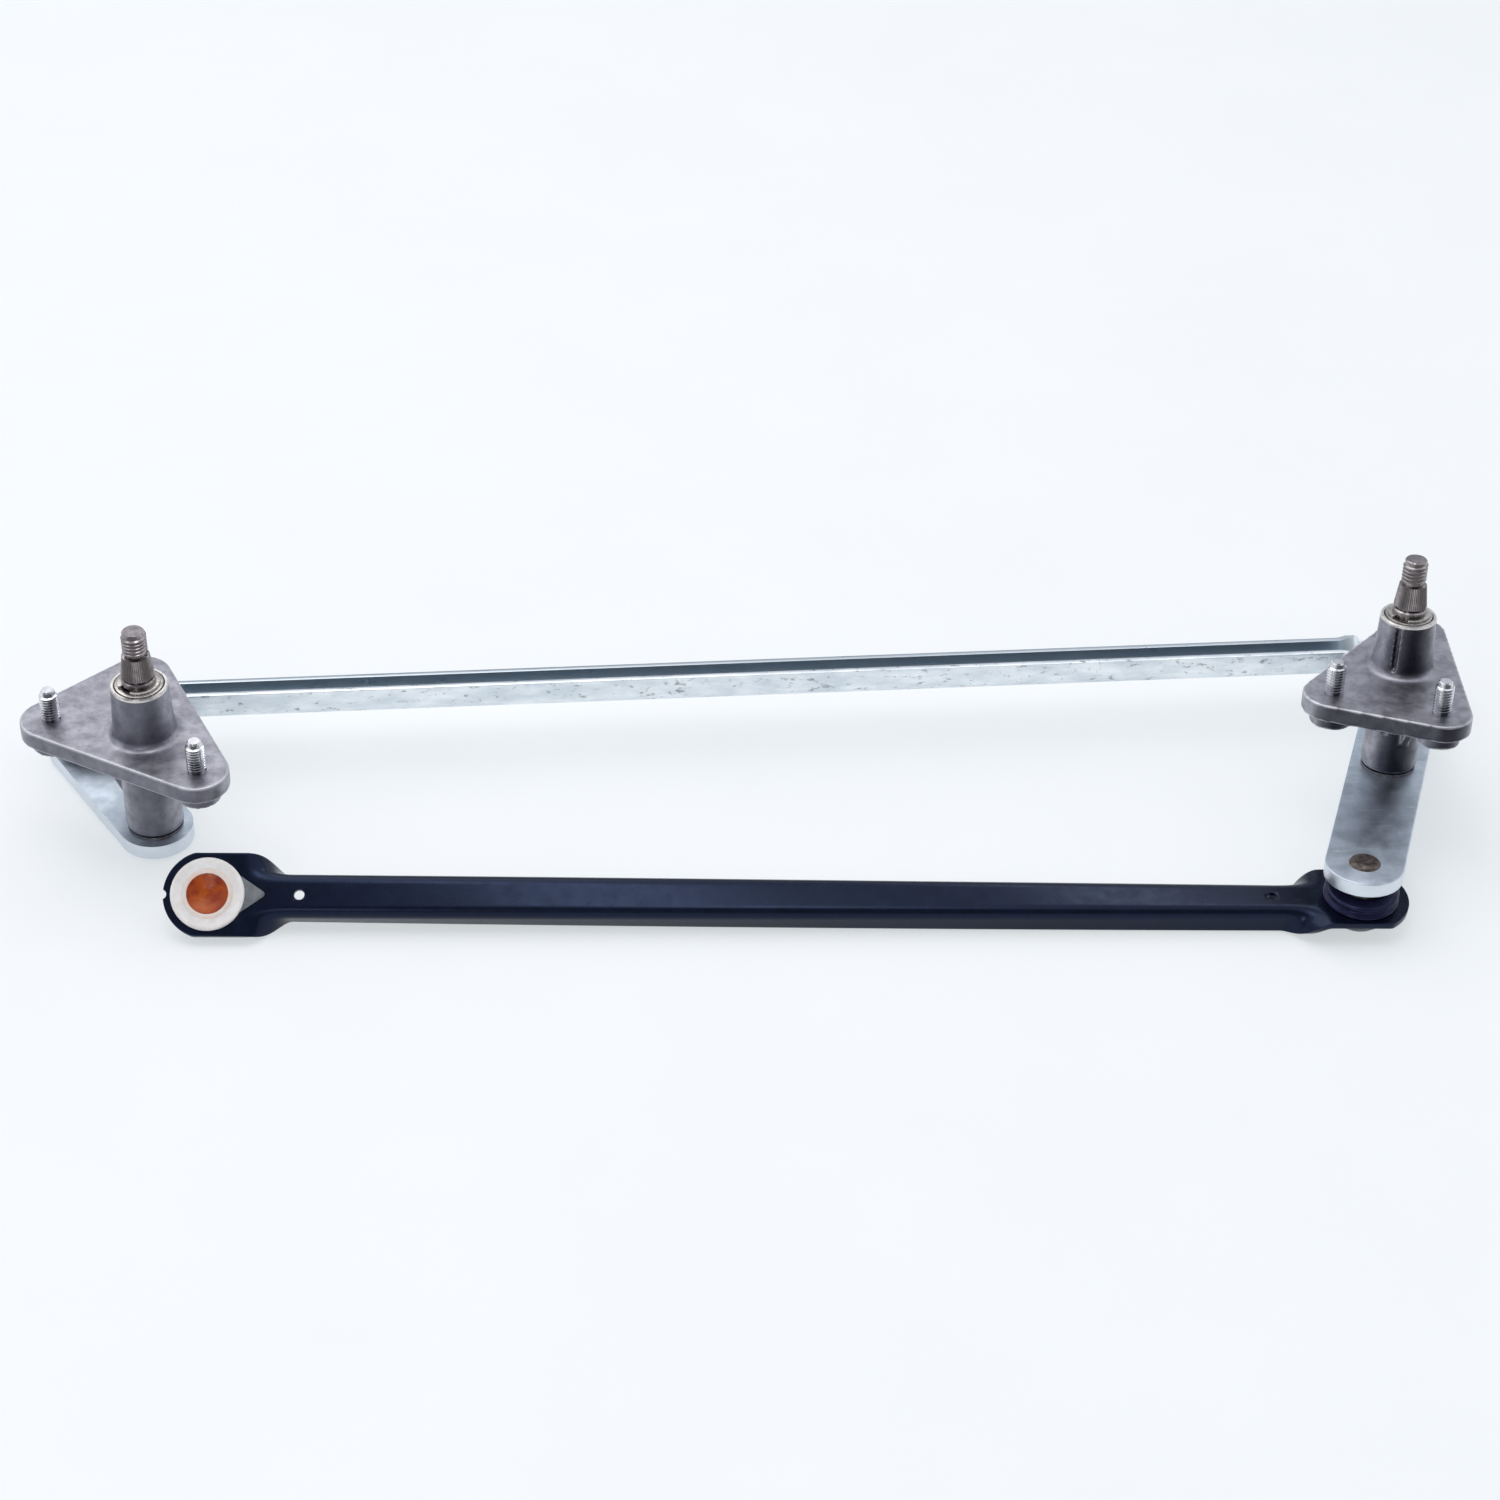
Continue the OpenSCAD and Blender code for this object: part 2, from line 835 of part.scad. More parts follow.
left_housing();
left_upper_bush();
left_lower_bush();
left_studs();
left_spindle();
left_thrust_washer();
left_washer();
left_retaining_ring();
right_housing();
right_upper_bush();
right_lower_bush();
right_studs();
right_spindle();
right_thrust_washer();
right_washer();
right_retaining_ring();
left_crank();
left_ball_stud();
right_lever();
front_ball_stud();
rear_ball_stud();
connecting_link();
link_left_socket();
link_left_boot();
link_right_socket();
link_right_boot();
drive_link();
drive_socket();
drive_boot();
motor_socket();
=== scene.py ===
"""A wiper linkage dressed for the studio: cast housings, spindles, levers, links and ball joints."""
import json
import logging
import math
from dataclasses import dataclass, replace
from enum import Enum
from typing import Any

import bmesh
import bpy
from mathutils import Matrix, Vector


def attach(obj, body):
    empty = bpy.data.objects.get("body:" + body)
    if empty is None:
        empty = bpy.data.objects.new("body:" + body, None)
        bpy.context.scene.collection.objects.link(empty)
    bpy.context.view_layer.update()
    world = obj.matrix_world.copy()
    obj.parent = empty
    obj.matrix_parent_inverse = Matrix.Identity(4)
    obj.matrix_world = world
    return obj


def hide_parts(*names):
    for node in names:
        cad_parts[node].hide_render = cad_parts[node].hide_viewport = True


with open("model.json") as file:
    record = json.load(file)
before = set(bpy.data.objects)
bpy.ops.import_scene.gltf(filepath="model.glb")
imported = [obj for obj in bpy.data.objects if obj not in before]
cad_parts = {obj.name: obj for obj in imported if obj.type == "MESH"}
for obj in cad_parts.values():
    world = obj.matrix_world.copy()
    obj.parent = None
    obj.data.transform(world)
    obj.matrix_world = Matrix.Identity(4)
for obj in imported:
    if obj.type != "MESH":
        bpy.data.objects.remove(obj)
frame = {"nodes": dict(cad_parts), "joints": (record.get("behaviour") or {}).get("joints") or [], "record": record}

LOG = logging.getLogger("wiper_linkage")
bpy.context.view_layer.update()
JOINTS = {joint["name"]: joint for joint in frame["joints"]}
MOUNTS = {mount["name"]: mount for mount in frame["record"]["mounts"]}

MM = 0.001
WELD = 0.002 * MM  # points that are closer than this are one point
FULL_TURN = 2 * math.pi
UP = Vector((0, 0, 1))
EDGE_HIGHLIGHT = "edge_highlight"  # value at each point of a casting: how far it stands out
CHANNEL_SHADE = "inside"  # value at each point of a link: 1 inside its channel
SHADES_AT = 0.36, 0.64  # values of a cloudy pattern at which a finish is darkest and lightest
GLOSS_AT = 0.3, 0.7  # values at which it is glossiest and dullest

Tree = bpy.types.NodeTree
Socket = bpy.types.NodeSocket
BMesh = bmesh.types.BMesh
Outline = list[tuple[float, float]]
Span = tuple[float, float]
Spot = tuple[float, float, float]


class Slot(Enum):
    """The record's material slots."""

    CAST = "cast_alloy"
    BRONZE = "bronze"
    STUD = "bright_zinc"
    STEEL = "bare_steel"
    WASHER = "dark_washer"
    SHEET = "zinc_sheet"
    NYLON = "nylon"
    RUBBER = "black_rubber"
    PAINT = "black_paint"


class Side(Enum):
    """The two spindle housings, by the name that their nodes start with."""

    LEFT = "left"
    RIGHT = "right"


def linear(code: str) -> tuple[float, float, float, float]:
    """Turns an sRGB hex colour to the linear values that a shader takes.

    Args:
        code: six hex digits, such as "8c8c94"
    Returns:
        red, green, blue and an alpha of 1
    """
    channels = [int(code[i:i + 2], 16) / 255 for i in (0, 2, 4)]
    r, g, b = [c / 12.92 if c <= 0.04045 else ((c + 0.055) / 1.055) ** 2.4 for c in channels]
    return r, g, b, 1.0


def add(tree: Tree, kind: str, inputs: dict | None = None,
        stops: tuple[tuple[float, str], ...] = (), **settings: Any) -> bpy.types.Node:
    """Adds a node with its settings, values and links.

    Args:
        tree: the material's or the world's nodes
        kind: the node's type
        inputs: a value or another node's output for each input, by name or number
        stops: a position and an sRGB hex colour for each stop of a colour row, in order
        settings: the node's own properties
    Returns:
        the new node
    """
    node = tree.nodes.new(kind)
    for key, value in settings.items():
        setattr(node, key, value)
    for spare in range(len(stops) - 2):
        node.color_ramp.elements.new(0.5)
    for index, (position, code) in enumerate(stops):
        node.color_ramp.elements[index].position = position
        node.color_ramp.elements[index].color = linear(code)
    for key, value in (inputs or {}).items():
        if isinstance(value, Socket):
            tree.links.new(value, node.inputs[key])
        else:
            node.inputs[key].default_value = value
    return node


@dataclass(frozen=True)
class Finish:
    """A surface as it was made: two mottled shades, a varied gloss and a fine relief.

    Attributes:
        title: the material's common name and how its surface was made
        light: the lighter of its two shades, sRGB hex
        dark: the darker shade
        metallic: 1 for bare metal, 0 for paint, plastic and rubber
        roughness: the middle of its gloss
        spread: how far the gloss varies to either side
        patch_mm: width of the mottled patches
        grain_mm: width of the relief's grain, drawn coarser than it is where it is too fine to show
        relief: strength of the relief
        stretch: the pattern's length along X, Y and Z in patches
    """

    title: str
    light: str
    dark: str
    metallic: float
    roughness: float
    spread: float
    patch_mm: float
    grain_mm: float
    relief: float
    stretch: Spot = (1, 1, 1)

    def clouds(self, tree: Tree, size_mm: float, detail: float = 4, roughness: float = 0.6,
               stretch: Spot | None = None) -> Socket:
        """A cloudy pattern on Object coordinates.

        Args:
            tree: the material's nodes
            size_mm: width of a cloud
            detail: finer octaves that it holds
            roughness: how strong they are
            stretch: its length along X, Y and Z in widths, or else the finish's own
        Returns:
            its value, 0 to 1
        """
        place = add(tree, "ShaderNodeTexCoord").outputs["Object"]
        squeeze = tuple(1 / s for s in stretch or self.stretch)
        place = add(tree, "ShaderNodeMapping", {"Vector": place, "Scale": squeeze}).outputs["Vector"]
        inputs = {"Vector": place, "Scale": 1 / (size_mm * MM), "Detail": detail, "Roughness": roughness}
        return add(tree, "ShaderNodeTexNoise", inputs).outputs["Fac"]

    def over(self, tree: Tree, under: Socket, code: str, value: Socket, span: Span,
             share: float) -> Socket:
        """Lays a colour over another, by the value of a pattern.

        Args:
            tree: the material's nodes
            under: the colour below
            code: the colour on top, sRGB hex
            value: the pattern's value
            span: the values at which the colour on top starts to show, and shows most
            share: how far it covers the colour below there
        Returns:
            the colour output
        """
        cover = add(tree, "ShaderNodeMapRange", {
            "Value": value, "From Min": span[0], "From Max": span[1], "To Max": share,
        })
        return add(tree, "ShaderNodeMixRGB", {
            "Fac": cover.outputs["Result"], "Color1": under, "Color2": linear(code),
        }).outputs["Color"]

    def colour(self, tree: Tree) -> Socket:
        """The two shades in patches.

        Args:
            tree: the material's nodes
        Returns:
            the colour output
        """
        stops = tuple(zip(SHADES_AT, (self.dark, self.light)))
        patches = add(tree, "ShaderNodeValToRGB", {"Fac": self.clouds(tree, self.patch_mm)}, stops)
        return patches.outputs["Color"]

    def facing(self, tree: Tree, axis: str) -> Socket:
        """How squarely the surface faces along an axis of the object, to either side.

        Args:
            tree: the material's nodes
            axis: "X", "Y" or "Z"
        Returns:
            0 for a surface along the axis to 1 for one across it
        """
        normal = add(tree, "ShaderNodeTexCoord").outputs["Normal"]
        either = add(tree, "ShaderNodeVectorMath", {0: normal}, operation="ABSOLUTE").outputs["Vector"]
        return add(tree, "ShaderNodeSeparateXYZ", {"Vector": either}).outputs[axis]

    def constants(self) -> dict[str, Any]:
        """Further values of the shader that are the same all over the surface."""
        return {}

    def material(self) -> bpy.types.Material:
        """Makes the material, once for each title.

        Returns:
            the material
        """
        made = bpy.data.materials.get(self.title)
        if made:
            return made
        made = bpy.data.materials.new(self.title)
        made.use_nodes = True
        tree = made.node_tree
        tree.nodes.clear()
        gloss = add(tree, "ShaderNodeMapRange", {
            "Value": self.clouds(tree, self.patch_mm * 0.7),
            "From Min": GLOSS_AT[0], "From Max": GLOSS_AT[1],
            "To Min": self.roughness - self.spread, "To Max": self.roughness + self.spread,
        })
        bump = add(tree, "ShaderNodeBump", {
            "Height": self.clouds(tree, self.grain_mm, detail=2), "Strength": self.relief,
            "Distance": self.grain_mm * 0.3 * MM,
        })
        shader = add(tree, "ShaderNodeBsdfPrincipled", {
            "Base Color": self.colour(tree), "Metallic": self.metallic,
            "Roughness": gloss.outputs["Result"], "Normal": bump.outputs["Normal"], **self.constants(),
        })
        add(tree, "ShaderNodeOutputMaterial", {"Surface": self.surface(tree, shader.outputs["BSDF"])})
        return made

    def surface(self, tree: Tree, skin: Socket) -> Socket:
        """What the finished surface shows.

        Args:
            tree: the material's nodes
            skin: the shader of the surface itself
        Returns:
            the same shader, or one laid over it
        """
        return skin


@dataclass(frozen=True)
class Cast(Finish):
    """Die-cast alloy: dull skin with dark specks, a painted highlight on edges that stand out and a painted dark
    reflection on walls that face forwards and backwards.

    Attributes:
        edge_highlight: colour of the painted highlight on edges that stand out
        edge_highlight_span: how far an edge stands out, in voxels, that just gets that highlight or gets most of
            it
        edge_highlight_share: how far that colour covers the alloy
        wall: colour of the painted dark reflection on the walls that face forwards and backwards
        wall_span: how squarely a wall faces that way that just gets that painted reflection or gets most of it
        wall_share: how far that colour covers the alloy
        pit: colour of the specks
        pit_mm: spacing of the specks
        pit_span: pattern values of a speck's rim and of its middle
        pit_share: how far that colour covers the alloy
    """

    edge_highlight: str = "e6e6ea"
    edge_highlight_span: Span = (0.04, 0.11)
    edge_highlight_share: float = 0.7
    wall: str = "52525d"
    wall_span: Span = (0.5, 0.98)
    wall_share: float = 0.76
    pit: str = "55555c"
    pit_mm: float = 1.6
    pit_span: Span = (0.62, 0.74)
    pit_share: float = 0.55

    def colour(self, tree: Tree) -> Socket:
        """The skin's shades, specked, with a painted dark reflection on its walls and a painted highlight on its
        edges.

        Args:
            tree: the material's nodes
        Returns:
            the colour output
        """
        speck = self.clouds(tree, self.pit_mm, detail=3)
        skin = self.over(tree, super().colour(tree), self.pit, speck, self.pit_span, self.pit_share)
        # painted dark reflection on the walls that face forwards and backwards
        skin = self.over(tree, skin, self.wall, self.facing(tree, "Y"), self.wall_span, self.wall_share)
        # painted highlight on the edges that stand out
        highlight_mask = add(tree, "ShaderNodeAttribute", attribute_name=EDGE_HIGHLIGHT).outputs["Fac"]
        return self.over(tree, skin, self.edge_highlight, highlight_mask, self.edge_highlight_span, self.edge_highlight_share)


@dataclass(frozen=True)
class Plate(Finish):
    """Zinc plated steel: cloudy grey film with scuffs drawn along the strip.

    Attributes:
        scuff: colour of the scuffs
        scuff_mm: width of a scuff
        scuff_length: its length in widths, along X
        scuff_from: pattern value above which a scuff shows
        scuff_edge: width of its soft edge, in pattern values
        scuff_share: how far its colour covers the film
        inner: colour of the painted shade inside a fold
    """

    scuff: str = "dfe4e8"
    scuff_mm: float = 1.1
    scuff_length: float = 9
    scuff_from: float = 0.58
    scuff_edge: float = 0.09
    scuff_share: float = 0.6
    inner: str = "b4bec6"

    def colour(self, tree: Tree) -> Socket:
        """The film's shades with scuffs over them, with painted shade inside a fold.

        Args:
            tree: the material's nodes
        Returns:
            the colour output
        """
        lines = self.clouds(
            tree, self.scuff_mm, detail=5, roughness=0.7, stretch=(self.scuff_length, 1, 1),
        )
        span = self.scuff_from, self.scuff_from + self.scuff_edge
        film = self.over(tree, super().colour(tree), self.scuff, lines, span, self.scuff_share)
        # painted shade inside the channel and on the rear flange's edge
        inside = add(tree, "ShaderNodeAttribute", attribute_name=CHANNEL_SHADE).outputs["Fac"]
        return self.over(tree, film, self.inner, inside, (0, 1), 1)


@dataclass(frozen=True)
class Sheared(Plate):
    """Plated flat bar whose upright faces are drawn brighter: partly the brighter film of its sheared edges,
    partly a painted reflection of the bright floor.

    Attributes:
        cut: colour of the upright faces: their own brighter film and a painted reflection
        cut_span: how squarely a face lies flat that just shows it or shows it most
        cut_share: how far it covers the film
    """

    cut: str = "e4eaf1"
    cut_span: Span = (0.7, 0.3)
    cut_share: float = 0.8

    def colour(self, tree: Tree) -> Socket:
        """The film's shades, brighter on walls that stand upright, as a painted reflection over their own brighter
        film.
        """
        film, upward = super().colour(tree), self.facing(tree, "Z")
        # painted reflection with the sheared edges' brighter film, on upright faces
        return self.over(tree, film, self.cut, upward, self.cut_span, self.cut_share)


@dataclass(frozen=True)
class Shaded(Finish):
    """Turned steel, with a painted dark reflection on its front and back.

    Attributes:
        front: colour of the painted dark reflection on the surfaces that face forwards and backwards
        front_span: how squarely a surface faces that way that just gets that painted reflection or gets most of it
        front_share: how far that shade covers the steel
    """

    front: str = "2c2c34"
    front_span: Span = (0.72, 0.95)
    front_share: float = 0.9

    def colour(self, tree: Tree) -> Socket:
        """The steel's shades, with the painted dark reflection in front and behind."""
        # painted dark reflection on the surfaces that face forwards and backwards
        steel, ahead = super().colour(tree), self.facing(tree, "Y")
        return self.over(tree, steel, self.front, ahead, self.front_span, self.front_share)


@dataclass(frozen=True)
class Coated(Finish):
    """Dipped and baked paint: a deep black, with a clear bluish gloss over a soft ripple.

    Attributes:
        ior: refractive index
        tint: colour of its gloss
    """

    ior: float = 1.47
    tint: str = "a0b8f0"

    def constants(self) -> dict[str, Any]:
        """The gloss layer of the baked film."""
        return {"IOR": self.ior, "Specular Tint": linear(self.tint)}


@dataclass(frozen=True)
class Moulded(Finish):
    """Plastic, rubber or grease: light enters it a little before it comes back.

    Attributes:
        depth_mm: how far the light wanders
        scatter: share of the light that does
        colour_reach: share of that depth which its red, green and blue reach
        ior: refractive index
        tint: colour of its gloss
    """

    depth_mm: float = 1.0
    scatter: float = 0.0
    colour_reach: Spot = (1.0, 0.6, 0.4)
    ior: float = 1.5
    tint: str = "ffffff"

    def constants(self) -> dict[str, Any]:
        """Its index and its depth."""
        return {
            "IOR": self.ior, "Subsurface Weight": self.scatter, "Subsurface Scale": self.depth_mm * MM,
            "Subsurface Radius": self.colour_reach, "Specular Tint": linear(self.tint),
        }


@dataclass(frozen=True)
class Paper(Finish):
    """A white sheet for a background, lit evenly from below: its shadows stay, but pale.

    Attributes:
        glow: share of the even light in what is seen of the sheet
        white: colour of that light
    """

    glow: float = 0.55
    white: str = "f7fdff"

    def surface(self, tree: Tree, skin: Socket) -> Socket:
        """The sheet with its even light, as it is seen and as metal shows it.

        Args:
            tree: the material's nodes
            skin: the shader of the sheet itself
        Returns:
            the mixed shader
        """
        path = add(tree, "ShaderNodeLightPath").outputs
        seen = path["Is Camera Ray"]
        for ray in ("Is Glossy Ray", "Is Transmission Ray"):
            either = add(tree, "ShaderNodeMath", {0: seen, 1: path[ray]}, operation="MAXIMUM")
            seen = either.outputs["Value"]
        share = add(tree, "ShaderNodeMath", {0: seen, 1: self.glow}, operation="MULTIPLY").outputs["Value"]
        light = add(tree, "ShaderNodeEmission", {"Color": linear(self.white), "Strength": 1.0})
        return add(tree, "ShaderNodeMixShader", {
            "Fac": share, 1: skin, 2: light.outputs["Emission"],
        }).outputs["Shader"]


# die-cast alloy, as cast: matt grey skin, patchy from the mould release
CAST_ALLOY = Cast(
    "die_cast_alloy_as_cast", light="aaaab3", dark="898992", metallic=1, roughness=0.42, spread=0.07,
    patch_mm=5, grain_mm=0.5, relief=0.2,
)
# the same alloy with a deeper painted dark reflection on its walls, for the right housing
CAST_ALLOY_DEEPER_REFLECTION = replace(CAST_ALLOY, title="die_cast_alloy_as_cast_dark", wall="22222c", wall_share=0.95)
# alloy faced on a lathe: bright, with fine turning marks
FACED_ALLOY = Finish(
    "faced_alloy", light="e2dfdb", dark="c6c2bf", metallic=1, roughness=0.3, spread=0.05, patch_mm=1.2,
    grain_mm=0.3, relief=0.08,
)
# sintered bronze: warm, dull and porous
BRONZE = Finish(
    "sintered_bronze", light="a88a5a", dark="84683f", metallic=1, roughness=0.45, spread=0.08,
    patch_mm=1.5, grain_mm=0.4, relief=0.2,
)
# zinc plated and polished: bright, with a painted dark reflection on its front and back
STUD_ZINC = Shaded(
    "bright_zinc_plated_steel", light="e9e9ec", dark="dadade", metallic=1, roughness=0.16, spread=0.04,
    patch_mm=2, grain_mm=0.4, relief=0.03,
)
# turned steel left bare: grey with a brown tarnish, and a painted dark reflection on its front and back
BARE_STEEL = Shaded(
    "turned_steel_bare", light="aaa4a5", dark="8a8485", metallic=1, roughness=0.18, spread=0.04,
    patch_mm=2.2, grain_mm=0.35, relief=0.02, front="56504f",
)
# steel of the riveted heads: rolled over, tarnished to brown
RIVET_STEEL = Finish(
    "riveted_steel_tarnished", light="7a716b", dark="4d4541", metallic=1, roughness=0.45, spread=0.1,
    patch_mm=1.6, grain_mm=0.5, relief=0.25,
)
# spring steel, oiled: pale, with a soft gloss
RING_STEEL = Finish(
    "spring_steel_oiled", light="c9c5c1", dark="a29e9a", metallic=1, roughness=0.28, spread=0.06,
    patch_mm=1.5, grain_mm=0.4, relief=0.08,
)
# washer pressed from strip: dull grey, dark where oil stays
DARK_WASHER = Finish(
    "pressed_steel_washer", light="8d898b", dark="67646a", metallic=1, roughness=0.4, spread=0.08,
    patch_mm=1.5, grain_mm=0.4, relief=0.12,
)
# zinc plated flat bar: cloudy film over rolled steel
ZINC_BAR = Sheared(
    "zinc_plated_flat_bar", light="c6d0dc", dark="abb6c2", metallic=1, roughness=0.42, spread=0.06,
    patch_mm=7, grain_mm=0.6, relief=0.1,
)
# zinc plated strip, folded: the same film, scuffed along its length, with painted shade inside its channel
ZINC_STRIP = Plate(
    "zinc_plated_folded_strip", light="f2f7fb", dark="d6dfe6", metallic=1, roughness=0.32, spread=0.06,
    patch_mm=5, grain_mm=0.5, relief=0.1, stretch=(3, 1, 1), scuff="3c3b38", scuff_mm=2.2,
    scuff_length=2, inner="bcc6ce",
)
# black paint, dipped and baked on pressed steel: deep and glossy, with a blue cast
BLACK_PAINT = Coated(
    "blue_black_dip_paint", light="090e1e", dark="060914", metallic=0, roughness=0.24, spread=0.05,
    patch_mm=6, grain_mm=0.9, relief=0.06,
)
# moulded nylon, natural white: milky, with soft shadows
NYLON = Moulded(
    "moulded_nylon_white", light="f2efec", dark="e6e1dd", metallic=0, roughness=0.42, spread=0.06,
    patch_mm=4, grain_mm=0.8, relief=0.05, scatter=0.25, depth_mm=1.5,
)
# moulded nylon, grey: dull
NYLON_GREY = Moulded(
    "moulded_nylon_grey", light="767b80", dark="5f6468", metallic=0, roughness=0.45, spread=0.06,
    patch_mm=3, grain_mm=0.8, relief=0.05, scatter=0.1,
)
# moulded rubber: near black, with a soft bluish gloss
RUBBER = Moulded(
    "moulded_black_rubber", light="1d1d33", dark="151528", metallic=0, roughness=0.22, spread=0.07,
    patch_mm=3, grain_mm=0.5, relief=0.1, ior=1.45, tint="a4a8f0",
)
# lithium grease, amber and half clear
GREASE = Moulded(
    "amber_grease", light="b85614", dark="8a2c10", metallic=0, roughness=0.3, spread=0.06, patch_mm=6,
    grain_mm=2.5, relief=0.25, scatter=0.4, depth_mm=2.0, ior=1.36,
)
# the same grease, wiped to a thin film on nylon: pale, with warm smears
GREASE_FILM = Moulded(
    "grease_film_on_nylon", light="f0d2bf", dark="ece4df", metallic=0, roughness=0.34, spread=0.06,
    patch_mm=2.2, grain_mm=1.5, relief=0.1, scatter=0.25,
)


def seat(origin: Vector, axis: Vector, ahead: Vector = Vector((1, 0, 0))) -> Matrix:
    """A place on the object, to model a piece in its own axes.

    Args:
        origin: the piece's own origin
        axis: its +Z
        ahead: the direction that its +X comes closest to
    Returns:
        the matrix from the piece's axes to the object's
    """
    z = Vector(axis).normalized()
    x = (Vector(ahead) - z * z.dot(Vector(ahead))).normalized()
    y = z.cross(x)
    return Matrix.Translation(origin) @ Matrix((x, y, z)).transposed().to_4x4()


def joint_seat(name: str) -> Matrix:
    """A hinge's place, its axis as +Z."""
    return seat(Vector(JOINTS[name]["pos_m"]), Vector(JOINTS[name]["axis"]))


@dataclass
class Piece:
    """One finished piece: what it is called, moves with, stands for and is made of.

    Attributes:
        name: the piece's own name
        body: the body that it moves with
        node: the solid that it stands for, or an empty text
        finish: its surface
        slot: the record's slot for that surface, not used
        crease: faces that meet at more than this many degrees keep a sharp edge
    """

    name: str
    body: str
    node: str
    finish: Finish
    slot: Slot
    crease: float = 34

    def hand_over(self, bm: BMesh, place: Matrix) -> None:
        """Turns the mesh in work to a finished object.

        Args:
            bm: the mesh in work, in the piece's own axes and metres
            place: from those axes to the object's
        """
        bmesh.ops.recalc_face_normals(bm, faces=bm.faces)
        bm.transform(place)
        self.dress(loose_object(self.name, bm))

    def dress(self, made: bpy.types.Object) -> None:
        """Gives an object its finish, its body and the solid that it stands for.

        Args:
            made: the object
        """
        mesh = made.data
        mesh.materials.clear()
        mesh.materials.append(self.finish.material())
        mesh.polygons.foreach_set("use_smooth", [True] * len(mesh.polygons))
        mesh.set_sharp_from_angle(angle=math.radians(self.crease))
        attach(made, self.body)
        if self.node:
            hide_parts(self.node)
        LOG.info("%s: %d faces", self.name, len(mesh.polygons))


def settle(made: bpy.types.Object) -> None:
    """Makes an object's modifiers part of its mesh.

    Args:
        made: the object, which is left without modifiers
    """
    bpy.context.view_layer.update()
    solid = made.evaluated_get(bpy.context.evaluated_depsgraph_get())
    mesh = bpy.data.meshes.new_from_object(solid)
    made.modifiers.clear()
    made.data = mesh


def loose_object(name: str, bm: BMesh) -> bpy.types.Object:
    """An object for a mesh in work.

    Args:
        name: the object's name
        bm: the mesh in work, which is freed
    Returns:
        the object
    """
    mesh = bpy.data.meshes.new(name)
    bm.to_mesh(mesh)
    bm.free()
    made = bpy.data.objects.new(name, mesh)
    bpy.context.scene.collection.objects.link(made)
    return made


def turn(outline: Outline, steps: int = 72, angle: float = FULL_TURN, closed: bool = False) -> BMesh:
    """Turns an outline about Z.

    Args:
        outline: radius and height of each point, in millimetres
        steps: sides of the turned shape
        angle: how far it is turned
        closed: joins the last point to the first
    Returns:
        the mesh in work
    """
    bm = bmesh.new()
    points = [bm.verts.new((r * MM, 0, z * MM)) for r, z in outline]
    pairs = list(zip(points, points[1:]))
    if closed:
        pairs.append((points[-1], points[0]))
    edges = [bm.edges.new(pair) for pair in pairs]
    whole = abs(angle - FULL_TURN) < 1e-6
    bmesh.ops.spin(
        bm, geom=points + edges, cent=(0, 0, 0), axis=(0, 0, 1), angle=angle, steps=steps, use_merge=whole
    )
    bmesh.ops.remove_doubles(bm, verts=bm.verts, dist=WELD)
    return bm


def round_edges(bm: BMesh, radius_mm: float, over: float = 40, segments: int = 2) -> None:
    """Rounds the edges at which the surface turns sharply.

    Args:
        bm: the mesh in work
        radius_mm: the rounding's size
        over: rounds edges that turn by more than this many degrees
        segments: faces across the rounding
    """
    sharp = [e for e in bm.edges if len(e.link_faces) == 2 and e.calc_face_angle(0) > math.radians(over)]
    bmesh.ops.bevel(
        bm, geom=sharp, offset=radius_mm * MM, affect="EDGES", segments=segments, profile=0.5, material=-1,
        clamp_overlap=True,
    )


def slab(discs: tuple[tuple[Vector, float, int], ...], low: float, thickness: float) -> BMesh:
    """A flat plate drawn tight round some discs.

    Args:
        discs: middle, radius and number of sides of each disc, in metres
        low: height of the plate's lower face
        thickness: its thickness
    Returns:
        the mesh in work
    """
    bm = bmesh.new()
    for middle, radius, sides in discs:
        spot = Matrix.Translation((middle.x, middle.y, low))
        bmesh.ops.create_circle(bm, segments=sides, radius=radius, matrix=spot)
    hull = bmesh.ops.convex_hull(bm, input=bm.verts)
    spare = [g for g in hull["geom_interior"] if isinstance(g, bmesh.types.BMVert)]
    bmesh.ops.delete(bm, geom=spare, context="VERTS")
    bmesh.ops.dissolve_limit(bm, angle_limit=math.radians(1), verts=bm.verts, edges=bm.edges)
    grown = bmesh.ops.extrude_face_region(bm, geom=bm.faces[:], use_keep_orig=True)
    raised = [g for g in grown["geom"] if isinstance(g, bmesh.types.BMVert)]
    bmesh.ops.translate(bm, verts=raised, vec=(0, 0, thickness))
    bmesh.ops.recalc_face_normals(bm, faces=bm.faces)
    return bm


def bowl(radius: float, last: float, steps: int = 14) -> Outline:
    """The outline of a round hollow, from its deepest point towards the mouth.

    Args:
        radius: the hollow's radius, in millimetres
        last: angle at which it ends, from its deepest point
        steps: parts of the outline
    Returns:
        radius and height of each point
    """
    sweep = [last * i / steps for i in range(steps + 1)]
    return [(radius * math.sin(a), -radius * math.cos(a)) for a in sweep]


